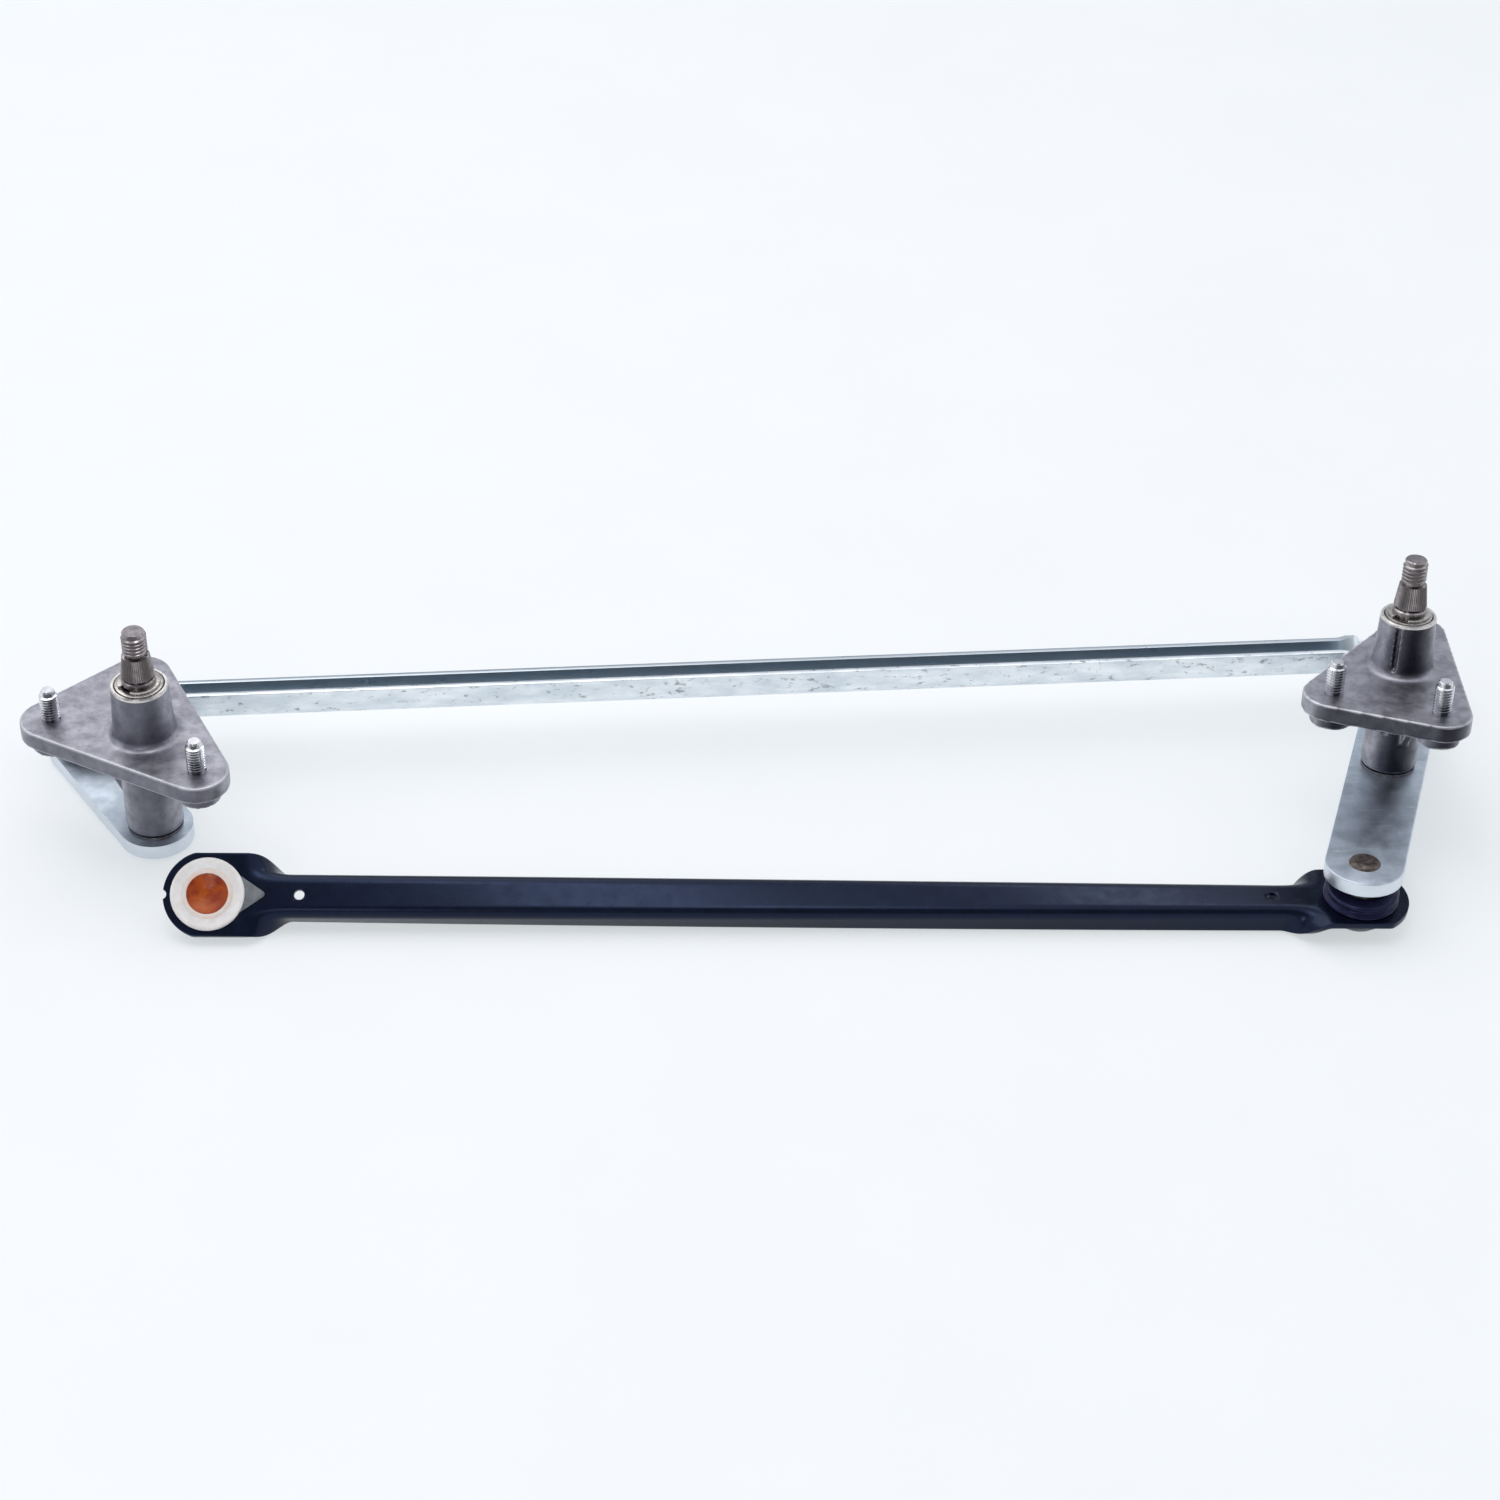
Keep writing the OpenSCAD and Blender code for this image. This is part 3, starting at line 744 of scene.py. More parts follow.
def thread(bm: BMesh, core: float, crest: float, pitch: float, low: float, high: float,
           flat: float = 0.09) -> None:
    """Winds a thread's ridge on a core.

    Args:
        bm: the mesh in work
        core: radius of the core, in millimetres
        crest: radius of the ridge
        pitch: rise of one turn
        low: where the ridge starts
        high: where it ends
        flat: half the width of the crest's flat, as a share of the pitch
    """
    steps = 30  # for each turn
    sunk = core - 0.1  # the ridge starts inside the core
    foot, tip = pitch * 0.46, pitch * flat  # half its width there and at its crest
    shape = [(sunk, low - foot), (crest, low - tip), (crest, low + tip), (sunk, low + foot)]
    corners = [bm.verts.new((r * MM, 0, (z + foot) * MM)) for r, z in shape]
    face = bm.faces.new(corners)
    turns = (high - low - 2 * foot) / pitch
    count = round(steps * turns)
    bmesh.ops.spin(
        bm, geom=[face, *face.edges, *corners], cent=(0, 0, 0), axis=(0, 0, 1),
        dvec=(0, 0, pitch * turns / count * MM), angle=FULL_TURN * turns, steps=count, use_merge=False,
    )


@dataclass
class SpindleHousing:
    """One cast housing with its spindle, studs, washers and ring, on the spindle's axis.

    Heights are in millimetres above the lever's top face.

    Attributes:
        side: left or right
        alloy: the casting's surface
        boss_top: top of the boss
        shaft_r: radius of the shaft
        lever_t: thickness of the lever that the spindle is riveted to
        ring_gap: opening of the retaining ring, in degrees
        ring_turn: where that opening ends
        tooth_depth: depth of the knurl, as a share of the radius
        press_r: radius of the studs' shanks in the flange
        plug_r: radius of the plugs that close the casting round those shanks
        stud_flat: half the width of the studs' worn crests, as a share of the pitch
        stud_dog: length of the studs' plain points
        voxel: grain at which the casting's edges are rounded
        fillet_rounds: how often they are smoothed
        highlight_blur_rounds: how often the marks for its painted edge highlight are blurred
    """

    side: Side
    alloy: Finish
    boss_top: float = 57.0
    boss_top_r: float = 9.05
    recess_r: float = 7.95
    shaft_r: float = 5.5
    lever_t: float = 5.0
    flange_top: float = 37.8
    washer_foot: float = 56.4
    washer_t: float = 0.8
    washer_r: float = 7.65
    ring_t: float = 1.0
    ring_r: float = 6.8
    ring_gap: float = 45
    ring_turn: float = 250
    groove_r: float = 4.5
    taper_foot: float = 60.8
    taper_top: float = 68.3
    taper_foot_r: float = 5.35
    taper_top_r: float = 4.4
    teeth: int = 48
    tooth_depth: float = 0.045
    tip: float = 77.2
    thread_r: float = 4.0
    thread_core: float = 3.35
    thread_pitch: float = 1.25
    head_r: float = 5.6
    head_h: float = 1.1
    press_r: float = 3.4
    plug_r: float = 3.7
    plug_h: float = 3.0
    stud_r: float = 3.0
    stud_core: float = 2.74
    stud_flat: float = 0.3
    stud_head_r: float = 4.3
    stud_head_h: float = 1.4
    stud_pitch: float = 1.0
    stud_dog: float = 2.0
    voxel: float = 0.42
    fillet_rounds: int = 4
    highlight_blur_rounds: int = 3

    @property
    def place(self) -> Matrix:
        """The spindle's axis, from the lever's top face up."""
        return joint_seat(f"{self.side.value}_spindle_turn")

    @property
    def fixed(self) -> str:
        """The body that the housing belongs to."""
        return f"{self.side.value}_pivot"

    @property
    def moving(self) -> str:
        """The body that the spindle belongs to."""
        return f"{self.side.value}_rocker"

    def build(self) -> None:
        """Makes every piece of the housing."""
        self.casting()
        self.rim()
        self.spindle()
        self.studs()
        self.washer()
        self.ring()
        for node, finish, slot in (
            ("upper_bush", BRONZE, Slot.BRONZE),
            ("lower_bush", BRONZE, Slot.BRONZE),
            ("thrust_washer", DARK_WASHER, Slot.WASHER),
        ):
            kept_solid(f"{self.side.value}_{node}", finish)

    def casting(self) -> None:
        """The casting, its edges rounded as a mould leaves them."""
        node = f"{self.side.value}_housing"
        bm = bmesh.new()
        bm.from_mesh(frame["nodes"][node].data)
        bmesh.ops.remove_doubles(bm, verts=bm.verts, dist=0.02 * MM)
        for low, high in islands(f"{self.side.value}_studs", self.place):
            plug = (low + high) / 2
            plug.z = (self.flange_top - self.plug_h / 2) * MM
            bmesh.ops.create_cone(
                bm, cap_ends=True, segments=48, radius1=self.plug_r * MM, radius2=self.plug_r * MM,
                depth=self.plug_h * MM, matrix=self.place @ Matrix.Translation(plug),
            )
        made = loose_object(f"{node}_casting", bm)
        remesh = made.modifiers.new("skin", "REMESH")
        remesh.mode = "VOXEL"
        remesh.voxel_size = self.voxel * MM
        smooth = made.modifiers.new("fillets", "SMOOTH")
        smooth.factor = 0.5
        smooth.iterations = self.fillet_rounds
        settle(made)
        self.mark_edges(made.data)
        Piece(made.name, self.fixed, node, self.alloy, Slot.CAST, crease=60).dress(made)

    def mark_edges(self, mesh: bpy.types.Mesh) -> None:
        """Marks each point of a casting by how far it stands out, for the painted highlight on its edges.

        Args:
            mesh: the casting's mesh, which gets a value in voxels at each point
        """
        bm = bmesh.new()
        bm.from_mesh(mesh)
        near = [[e.other_vert(v) for e in v.link_edges] for v in bm.verts]
        proud = [
            (v.co - sum((n.co for n in others), Vector()) / len(others)).dot(v.normal) / (self.voxel * MM)
            for v, others in zip(bm.verts, near)
        ]
        for blur in range(self.highlight_blur_rounds):
            proud = [
                (value + sum(proud[n.index] for n in others)) / (1 + len(others))
                for value, others in zip(proud, near)
            ]
        bm.free()
        mesh.attributes.new(EDGE_HIGHLIGHT, "FLOAT", "POINT").data.foreach_set("value", proud)

    def rim(self) -> None:
        """The faced rim of the boss, round the recess that the washer lies in."""
        top, outer, inner = self.boss_top, self.boss_top_r, self.recess_r
        bm = turn([
            (inner, top - 0.85), (outer - 0.3, top - 1.5), (outer + 0.03, top - 1.0), (outer, top - 0.4),
            (outer - 0.35, top), (inner + 0.15, top), (inner, top - 0.15),
        ], steps=96, closed=True)
        name = f"{self.side.value}_housing_rim"
        Piece(name, self.fixed, "", FACED_ALLOY, Slot.CAST).hand_over(bm, self.place)

    def spindle(self) -> None:
        """The spindle: riveted foot, shaft, knurled taper and threaded tip."""
        foot = -self.lever_t
        ring_foot = self.washer_foot + self.washer_t
        ring_top = ring_foot + self.ring_t
        neck = self.taper_foot - 0.9
        bm = turn([
            (0, foot - self.head_h), (self.head_r - 1.0, foot - self.head_h),
            (self.head_r - 0.4, foot - 0.85), (self.head_r, foot - 0.4), (self.head_r, foot),
            (self.groove_r, foot),
            (self.groove_r, 0), (self.shaft_r, 0), (self.shaft_r, ring_foot), (self.groove_r, ring_foot),
            (self.groove_r, ring_top), (self.shaft_r, ring_top),
            (self.shaft_r, neck - 0.4), (self.shaft_r - 0.4, neck), (self.taper_top_r, neck),
            (self.taper_top_r, self.taper_foot - 0.4), (self.taper_foot_r, self.taper_foot),
            (self.taper_top_r, self.taper_top), (self.thread_core, self.taper_top + 0.15),
            (self.thread_core, self.tip - 1.1), (self.thread_r - 0.45, self.tip - 0.9),
            (self.thread_r - 0.45, self.tip - 0.35), (self.thread_r - 0.8, self.tip), (0, self.tip),
        ], steps=2 * self.teeth)
        self.knurl(bm)
        thread(bm, self.thread_core, self.thread_r, self.thread_pitch, self.taper_top + 0.4, self.tip - 0.7)
        name = f"{self.side.value}_spindle"
        Piece(f"{name}_turned", self.moving, name, BARE_STEEL, Slot.STEEL).hand_over(bm, self.place)

    def knurl(self, bm: BMesh) -> None:
        """Presses the teeth of the knurl into the taper, every second edge.

        Args:
            bm: the spindle's mesh in work
        """
        low, high = self.taper_foot - 0.1, self.taper_top + 0.05
        step = FULL_TURN / (2 * self.teeth)
        valley = [
            v for v in bm.verts
            if low < v.co.z / MM < high and round(math.atan2(v.co.y, v.co.x) / step) % 2
        ]
        depth = 1 - self.tooth_depth
        bmesh.ops.scale(bm, verts=valley, vec=(depth, depth, 1))

    def studs(self) -> None:
        """The headed studs, pressed in from below, each with a thread and a plain dog point."""
        node = f"{self.side.value}_studs"
        work = bmesh.new()
        shank = self.flange_top - 0.5
        for low, high in islands(node, self.place):
            centre = (low + high) / 2
            bottom, top = low.z / MM, high.z / MM
            under, dog = bottom + self.stud_head_h, top - self.stud_dog
            bm = turn([
                (0, bottom), (self.stud_head_r - 0.4, bottom), (self.stud_head_r, bottom + 0.4),
                (self.stud_head_r, under), (self.press_r, under), (self.press_r, shank),
                (self.stud_core, shank), (self.stud_core, dog), (self.stud_r * 0.78, dog + 0.2),
                (self.stud_r * 0.74, top - 0.5), (self.stud_r * 0.6, top), (0, top),
            ], steps=48)
            ends = self.flange_top - 0.1, dog + 0.3
            thread(bm, self.stud_core, self.stud_r, self.stud_pitch, *ends, flat=self.stud_flat)
            bm.transform(Matrix.Translation((centre.x, centre.y, 0)))
            part = bpy.data.meshes.new("stud")
            bm.to_mesh(part)
            bm.free()
            work.from_mesh(part)
        Piece(f"{node}_threaded", self.fixed, node, STUD_ZINC, Slot.STUD).hand_over(work, self.place)

    def washer(self) -> None:
        """The washer between the boss and the ring."""
        low, high = self.washer_foot, self.washer_foot + self.washer_t
        inner = self.shaft_r + 0.1
        bm = turn([(inner, low), (self.washer_r, low), (self.washer_r, high), (inner, high)], closed=True)
        round_edges(bm, 0.2)
        node = f"{self.side.value}_washer"
        Piece(f"{node}_pressed", self.moving, node, RING_STEEL, Slot.STUD).hand_over(bm, self.place)

    def ring(self) -> None:
        """The open retaining ring in the spindle's groove."""
        low = self.washer_foot + self.washer_t
        high = low + self.ring_t
        outline = [(self.groove_r, low), (self.ring_r, low), (self.ring_r, high), (self.groove_r, high)]
        bm = turn(outline, angle=math.radians(360 - self.ring_gap), closed=True)
        bmesh.ops.holes_fill(bm, edges=[e for e in bm.edges if e.is_boundary], sides=4)
        bmesh.ops.rotate(bm, verts=bm.verts, matrix=Matrix.Rotation(math.radians(self.ring_turn), 3, "Z"))
        round_edges(bm, 0.18)
        node = f"{self.side.value}_retaining_ring"
        Piece(f"{node}_sprung", self.moving, node, RING_STEEL, Slot.STEEL).hand_over(bm, self.place)


def islands(node: str, place: Matrix) -> list[tuple[Vector, Vector]]:
    """The boxes of a node's separate solids, in a piece's own axes.

    Args:
        node: the node
        place: from the piece's axes to the object's
    Returns:
        the lowest and the highest corner of each solid
    """
    bm = bmesh.new()
    bm.from_mesh(frame["nodes"][node].data)
    bm.transform(place.inverted())
    bmesh.ops.remove_doubles(bm, verts=bm.verts, dist=WELD)
    left = set(bm.verts)
    boxes = []
    while left:
        group, fresh = set(), {left.pop()}
        while fresh:
            group |= fresh
            fresh = {e.other_vert(v) for v in fresh for e in v.link_edges} - group
        left -= group
        axes = list(zip(*(v.co for v in group)))
        boxes.append((Vector([min(a) for a in axes]), Vector([max(a) for a in axes])))
    bm.free()
    return sorted(boxes, key=lambda box: tuple(box[0]))


def kept_solid(node: str, finish: Finish) -> None:
    """Dresses a solid whose shape stays as it is.

    Args:
        node: the solid's node
        finish: its surface
    """
    solid = frame["nodes"][node]
    solid.data.materials.clear()
    solid.data.materials.append(finish.material())
    LOG.info("%s: dressed as it is", node)


@dataclass
class FlatLever:
    """A flat bar with round ends, riveted to a spindle.

    Attributes:
        node: the bar's node
        body: the body that it moves with
        place: the spindle's axis, on the bar's top face
        ends: the two ends of the bar's middle line, in its own axes and metres
        width: width of the bar, in millimetres
        thickness: its thickness
        edge: rounding of its sheared edges
    """

    node: str
    body: str
    place: Matrix
    ends: tuple[Vector, Vector]
    width: float = 24
    thickness: float = 5
    edge: float = 0.45

    def bar(self) -> None:
        """The bar, as sheared from flat stock."""
        discs = tuple((end, self.width / 2 * MM, 128) for end in self.ends)
        bm = slab(discs, -self.thickness * MM, self.thickness * MM)
        round_edges(bm, self.edge, over=60, segments=3)
        Piece(f"{self.node}_bar", self.body, self.node, ZINC_BAR, Slot.SHEET).hand_over(bm, self.place)


@dataclass
class BallStud:
    """A ball on its shank, riveted through a bar.

    Attributes:
        node: the stud's node
        body: the body that it moves with
        place: the bar's face that it stands on, +Z towards the ball
        reach: ball centre from that face, in millimetres
    """

    node: str
    body: str
    place: Matrix
    reach: float
    bar_t: float = 5
    ball_r: float = 6.5
    neck_r: float = 3.7
    collar_r: float = 6
    collar_t: float = 2
    shank_r: float = 4
    head_r: float = 5
    head_h: float = 1.1
    ball_steps: int = 16

    def build(self) -> None:
        """Turns the stud with a rolled rivet head."""
        back = -self.bar_t
        start = math.asin(self.neck_r / self.ball_r)
        sweep = [start + (math.pi - start) * i / self.ball_steps for i in range(self.ball_steps)]
        ball = [(self.ball_r * math.sin(a), self.reach - self.ball_r * math.cos(a)) for a in sweep]
        bm = turn([
            (0, back - self.head_h * 0.8), (1.2, back - self.head_h * 0.82), (2.0, back - self.head_h),
            (3.6, back - self.head_h * 0.94), (4.6, back - self.head_h * 0.66),
            (self.head_r, back - self.head_h * 0.2), (self.head_r, back), (self.shank_r, back),
            (self.shank_r, 0), (self.collar_r, 0), (self.collar_r, self.collar_t),
            (self.neck_r, self.collar_t), *ball, (0, self.reach + self.ball_r),
        ])
        piece = Piece(f"{self.node}_turned", self.body, self.node, RIVET_STEEL, Slot.STEEL)
        piece.hand_over(bm, self.place)


@dataclass
class BallSocket:
    """A moulded socket in a link's eye and the rubber boot over its mouth.

    Attributes:
        name: what the two nodes' names start with
        body: the body that they move with
        place: the ball's centre, +Z out of the mouth
        sheet: thickness of the link's sheet, in millimetres
        reach: from the ball's centre to the bar's face
        cap: depth of the cap behind the centre
        finish: the socket's surface
        bulge: how far the boot's folds stand out and in
        folds: half waves of those folds
        shoulder: share of the boot's height at which it draws in
    """

    name: str
    body: str
    place: Matrix
    sheet: float
    reach: float
    cap: float
    finish: Finish = NYLON
    ball_r: float = 6.56
    socket_r: float = 9.2
    flange_r: float = 10.4
    rim: float = 2.6
    taper: float = 2.2
    collar_r: float = 6
    wall: float = 0.9
    bulge: float = 0.75
    folds: float = 3.2
    shoulder: float = 0.62
    boot_steps: int = 26

    def build(self) -> None:
        """Makes the socket and its boot."""
        half = self.sheet / 2
        tip_r = self.socket_r - self.taper
        mouth = math.pi - math.acos(self.rim / self.ball_r)
        bm = turn([
            *bowl(self.ball_r, mouth), (self.flange_r - 0.5, self.rim), (self.flange_r, self.rim - 0.5),
            (self.flange_r, half), (self.socket_r, half), (self.socket_r, self.taper - self.cap),
            (tip_r + 0.5, 0.3 - self.cap), (tip_r - 0.4, -self.cap), (0, -self.cap),
        ])
        node = f"{self.name}_socket"
        Piece(f"{node}_moulded", self.body, node, self.finish, Slot.NYLON).hand_over(bm, self.place)
        self.boot()

    def boot(self) -> None:
        """The boot: two soft folds between the link's eye and the lip round the stud."""
        foot, lip = self.sheet / 2, self.reach - 2.1
        tall, lip_r = lip - foot, self.collar_r + 1.4
        root = self.flange_r + 0.3 + self.bulge
        outer, inner = [], []
        for i in range(self.boot_steps + 1):
            u = i / self.boot_steps
            shoulder = max(0.0, (u - self.shoulder) / (1 - self.shoulder))
            lean = root + (lip_r + 1.2 - root) * shoulder ** 2
            fold = self.bulge * math.sin(u * math.pi * self.folds + 0.4) * (1 - u * 0.45)
            outer.append((lean + fold, foot + tall * u))
            inner.append((max(lean + fold - self.wall - 0.5 * u, lip_r), foot + tall * u - 0.3 * u))
        bm = turn(outer + inner[::-1], closed=True)
        node = f"{self.name}_boot"
        piece = Piece(f"{node}_moulded", self.body, node, RUBBER, Slot.RUBBER, crease=70)
        piece.hand_over(bm, self.place)


@dataclass
class FoldedLink:
    """A strip of sheet, flat with a round eye at each end and folded to a channel between them.

    Lengths are in millimetres along the link, from the first ball to the second.

    Attributes:
        node: the link's node
        body: the body that it moves with
        place: the first ball's centre, +X to the second, +Z square to the second eye
        length: distance between the balls
        sheet: thickness of the sheet
        web: half the flat part of the web
        half: half the strip's width at the eyes
        channel: half the strip's width along the channel
        eyes: radius of the first and the second eye
        fold: 1 folds its flanges up, -1 down
        twist: turn of the first eye against the second, in degrees
        finish: its surface
        slot: the record's slot for that surface
        eye_run: from a ball to where the folding starts
        fold_run: length over which it folds
        holes: radius and place along the link of each hole in the web
        notch_r: radius of the notch at the first eye's tip, 0 for none
        corner: arc of a fold, as a share of the strip beside the web
        edge: rounding of its sheared edges
        drill: length of the drills for the holes
        tip_angle: where the outline of an eye starts, in degrees from its side
    """

    node: str
    body: str
    place: Matrix
    length: float
    sheet: float
    web: float
    half: float
    channel: float
    eyes: tuple[float, float]
    fold: int
    twist: float
    finish: Finish
    slot: Slot
    eye_run: float = 11
    fold_run: float = 15
    holes: tuple[tuple[float, float], ...] = ()
    notch_r: float = 0
    corner: float = 0.39
    edge: float = 0.3
    drill: float = 8
    tip_angle: float = 87
    tip_steps: int = 22
    fold_steps: int = 16
    run_steps: int = 60
    across: int = 36

    def turned(self, x: float) -> float:
        """The twist at a place along the link, in radians."""
        share = (x - self.eye_run) / (self.length - 2 * self.eye_run)
        return math.radians(self.twist) * (1 - min(1.0, max(0.0, share)))

    def stations(self) -> list[tuple[float, float, float]]:
        """The cross-sections along the link.

        Returns:
            place along the link, half width and fold angle of each
        """
        rows = []
        for radius in self.eyes:
            wide = min(self.half, radius)
            end = []
            for i in range(self.tip_steps):
                a = math.radians(self.tip_angle * (1 - i / self.tip_steps))
                end.append((-radius * math.sin(a), min(self.half, radius * math.cos(a)), 0.0))
            end += [(0.0, wide, 0.0), (self.eye_run, wide, 0.0)]
            for i in range(1, self.fold_steps + 1):
                u = i / self.fold_steps
                s = u * u * (3 - 2 * u)
                half = self.half + (self.channel - self.half) * s
                end.append((self.eye_run + self.fold_run * u, half, math.pi / 2 * s))
            rows.append(end)
        first, second = rows
        start = self.eye_run + self.fold_run
        pace = (self.length - 2 * start) / self.run_steps
        middle = [(start + pace * i, self.channel, math.pi / 2) for i in range(1, self.run_steps)]
        return first + middle + [(self.length - x, h, f) for x, h, f in second[::-1]]

    def bend(self, s: float, half: float, fold: float) -> tuple[float, float]:
        """Where a point of the strip comes to lie once the strip is folded.

        Args:
            s: distance from the strip's middle line, in millimetres
            half: half the strip's width there
            fold: fold angle there
        Returns:
            its place across and above the web
        """
        share = half / self.half
        web = self.web * share
        corner = (self.half - self.web) * self.corner * share
        start = web - corner / 6
        flat = min(abs(s), start)
        arc = min(max(abs(s) - start, 0), corner)
        rest = max(abs(s) - start - corner, 0)
        angle = fold * arc / corner
        if angle > 1e-4:
            radius = corner / fold
            across, above = radius * math.sin(angle), radius * (1 - math.cos(angle))
        else:
            across, above = arc, 0.0
        across += flat + rest * math.cos(angle)
        above += rest * math.sin(angle)
        return math.copysign(across, s), self.fold * above

    def strip(self) -> BMesh:
        """The sheet's middle surface, folded and twisted.

        Returns:
            the mesh in work
        """
        rows = self.stations()
        bm = bmesh.new()
        bmesh.ops.create_grid(bm, x_segments=len(rows) - 1, y_segments=self.across, size=1)
        for v in bm.verts:
            i = round((v.co.x + 1) / 2 * (len(rows) - 1))
            x, half, fold = rows[i]
            across, above = self.bend(v.co.y * half, half, fold)
            c, s = math.cos(self.turned(x)), math.sin(self.turned(x))
            v.co = Vector((x, across * c - above * s, across * s + above * c)) * MM
        return bm

    def cutters(self) -> BMesh:
        """Drills for the holes and the notch.

        Returns:
            the mesh in work
        """
        bm = bmesh.new()
        spots = list(self.holes)
        if self.notch_r:
            spots.append((self.notch_r, -self.eyes[0] - 0.5))
        for radius, x in spots:
            spot = Matrix.Translation((x * MM, 0, 0)) @ Matrix.Rotation(self.turned(x), 4, "X")
            bmesh.ops.create_cone(
                bm, cap_ends=True, segments=72, radius1=radius * MM, radius2=radius * MM,
                depth=self.drill * MM, matrix=spot,
            )
        return bm

    def shade(self, bm: BMesh) -> None:
        """Marks the points inside the channel, which face its middle, and the edge of its rear flange, where
        painted shade darkens the strip.

        Args:
            bm: the mesh in work, whose points get 1 inside and 0 outside
        """
        bm.normal_update()
        inside = bm.verts.layers.float.new(CHANNEL_SHADE)
        flat = self.eye_run + self.fold_run / 2
        for v in bm.verts:
            x = v.co.x / MM
            level = Matrix.Rotation(-self.turned(x), 3, "X")
            spot, facing = level @ v.co, level @ v.normal
            open_way = facing.z * self.fold
            inward = open_way - facing.y * math.copysign(1, spot.y)
            wall = inward > 0.8 and abs(facing.z) < 0.95
            web = open_way > 0.95 and abs(spot.z) < self.sheet * MM
            # the rear flange's edge also gets the painted shade
            rear_edge = open_way > 0.3 and spot.y > 0
            v[inside] = float(flat < x < self.length - flat and (wall or web or rear_edge))

    def build(self) -> None:
        """Makes the link from its sheet."""
        made = loose_object(f"{self.node}_folded", self.strip())
        solid = made.modifiers.new("sheet", "SOLIDIFY")
        solid.thickness = self.sheet * MM
        solid.offset = 0
        solid.use_even_offset = True
        settle(made)
        if self.holes:
            drill = loose_object("drill", self.cutters())
            cut = made.modifiers.new("holes", "BOOLEAN")
            cut.operation = "DIFFERENCE"
            cut.solver = "EXACT"
            cut.object = drill
            settle(made)
            bpy.data.objects.remove(drill)
        bm = bmesh.new()
        bm.from_mesh(made.data)
        bpy.data.objects.remove(made)
        bmesh.ops.remove_doubles(bm, verts=bm.verts, dist=WELD)
        bmesh.ops.recalc_face_normals(bm, faces=bm.faces)
        round_edges(bm, self.edge, over=60)
        self.shade(bm)
        piece = Piece(f"{self.node}_folded", self.body, self.node, self.finish, self.slot, crease=50)
        piece.hand_over(bm, self.place)


@dataclass
class MotorSocket:
    """The open socket at the drive link's motor end: white ring, grey tab and grease.

    Attributes:
        body: the body that it moves with
        place: the ball's centre, +Z out of the mouth, +X along the link
        sheet: thickness of the link's sheet, in millimetres
        face_r: radius of its face ring
        tab_reach: reach of its tab along the link
        mouth: angle at which the hollow ends, from its deepest point, in degrees
    """

    body: str
    place: Matrix
    sheet: float = 2
    face_r: float = 11.6
    tab_reach: float = 17.8
    tab_t: float = 1.0
    tab_tip_r: float = 1.1
    rim: float = 2.6
    socket_r: float = 9.2
    cap: float = 7.7
    taper: float = 2.2
    ball_r: float = 6.56
    mouth: float = 107
    mouth_r: float = 6.7

    def build(self) -> None:
        """Makes the ring, its tab and the grease."""
        self.ring()
        self.tab()
        self.grease()
        self.film()

    def ring(self) -> None:
        """The ring with its soft lip, the socket behind it and the hollow for the ball."""
        half = self.sheet / 2
        bm = turn([
            *bowl(self.ball_r, math.radians(self.mouth)),
            (self.mouth_r - 0.25, self.rim - 0.45), (self.mouth_r, self.rim - 0.22),
            (self.mouth_r + 0.35, self.rim - 0.12), (self.mouth_r + 1.4, self.rim - 0.28),
            (self.face_r - 1.9, self.rim - 0.3), (self.face_r - 1.2, self.rim - 0.05),
            (self.face_r - 0.75, self.rim), (self.face_r - 0.3, self.rim - 0.1),
            (self.face_r, self.rim - 0.45), (self.face_r, half), (self.socket_r, half),
            (self.socket_r, self.taper - self.cap), (self.socket_r - self.taper, -self.cap), (0, -self.cap),
        ], steps=96)
        piece = Piece("motor_socket_ring", self.body, "motor_socket", NYLON, Slot.NYLON, crease=45)
        piece.hand_over(bm, self.place)

    def tab(self) -> None:
        """The pointed tab that keeps the socket from turning."""
        tip = Vector((self.tab_reach - self.tab_tip_r, 0, 0)) * MM
        discs = ((Vector(), (self.face_r - 1.0) * MM, 72), (tip, self.tab_tip_r * MM, 24))
        bm = slab(discs, self.sheet / 2 * MM, self.tab_t * MM)
        bmesh.ops.bisect_plane(
            bm, geom=bm.verts[:] + bm.edges[:] + bm.faces[:], plane_co=((self.mouth_r + 1.2) * MM, 0, 0),
            plane_no=(1, 0, 0), clear_inner=True,
        )
        bmesh.ops.holes_fill(bm, edges=[e for e in bm.edges if e.is_boundary])
        round_edges(bm, 0.25, over=60)
        Piece("motor_socket_tab", self.body, "", NYLON_GREY, Slot.NYLON).hand_over(bm, self.place)

    def grease(self) -> None:
        """The grease that fills the hollow, dished in its middle."""
        edge = self.mouth_r - 0.1
        bm = turn([
            (0, self.rim - 1.7), (1.5, self.rim - 1.62), (3.0, self.rim - 1.35), (4.4, self.rim - 0.95),
            (5.4, self.rim - 0.6), (edge - 0.4, self.rim - 0.33), (edge, self.rim - 0.28),
            (edge - 0.3, self.rim - 0.7), (4.0, self.rim - 2.6), (0, self.rim - 3.4),
        ])
        piece = Piece("motor_socket_grease", self.body, "", GREASE, Slot.NYLON, crease=80)
        piece.hand_over(bm, self.place)

    def film(self) -> None:
        """The film of grease that the ball has wiped on the ring's inner edge."""
        inner, over = self.mouth_r, 0.03
        bm = turn([
            (inner - 0.25, self.rim - 0.45), (inner - 0.2, self.rim - 0.3),
            (inner, self.rim - 0.22 + over),
            (inner + 0.35, self.rim - 0.12 + over), (inner + 1.3, self.rim - 0.27 + over),
            (inner + 1.5, self.rim - 0.32), (inner + 0.3, self.rim - 0.4),
        ], steps=96, closed=True)
        piece = Piece("motor_socket_film", self.body, "", GREASE_FILM, Slot.NYLON, crease=80)
        piece.hand_over(bm, self.place)


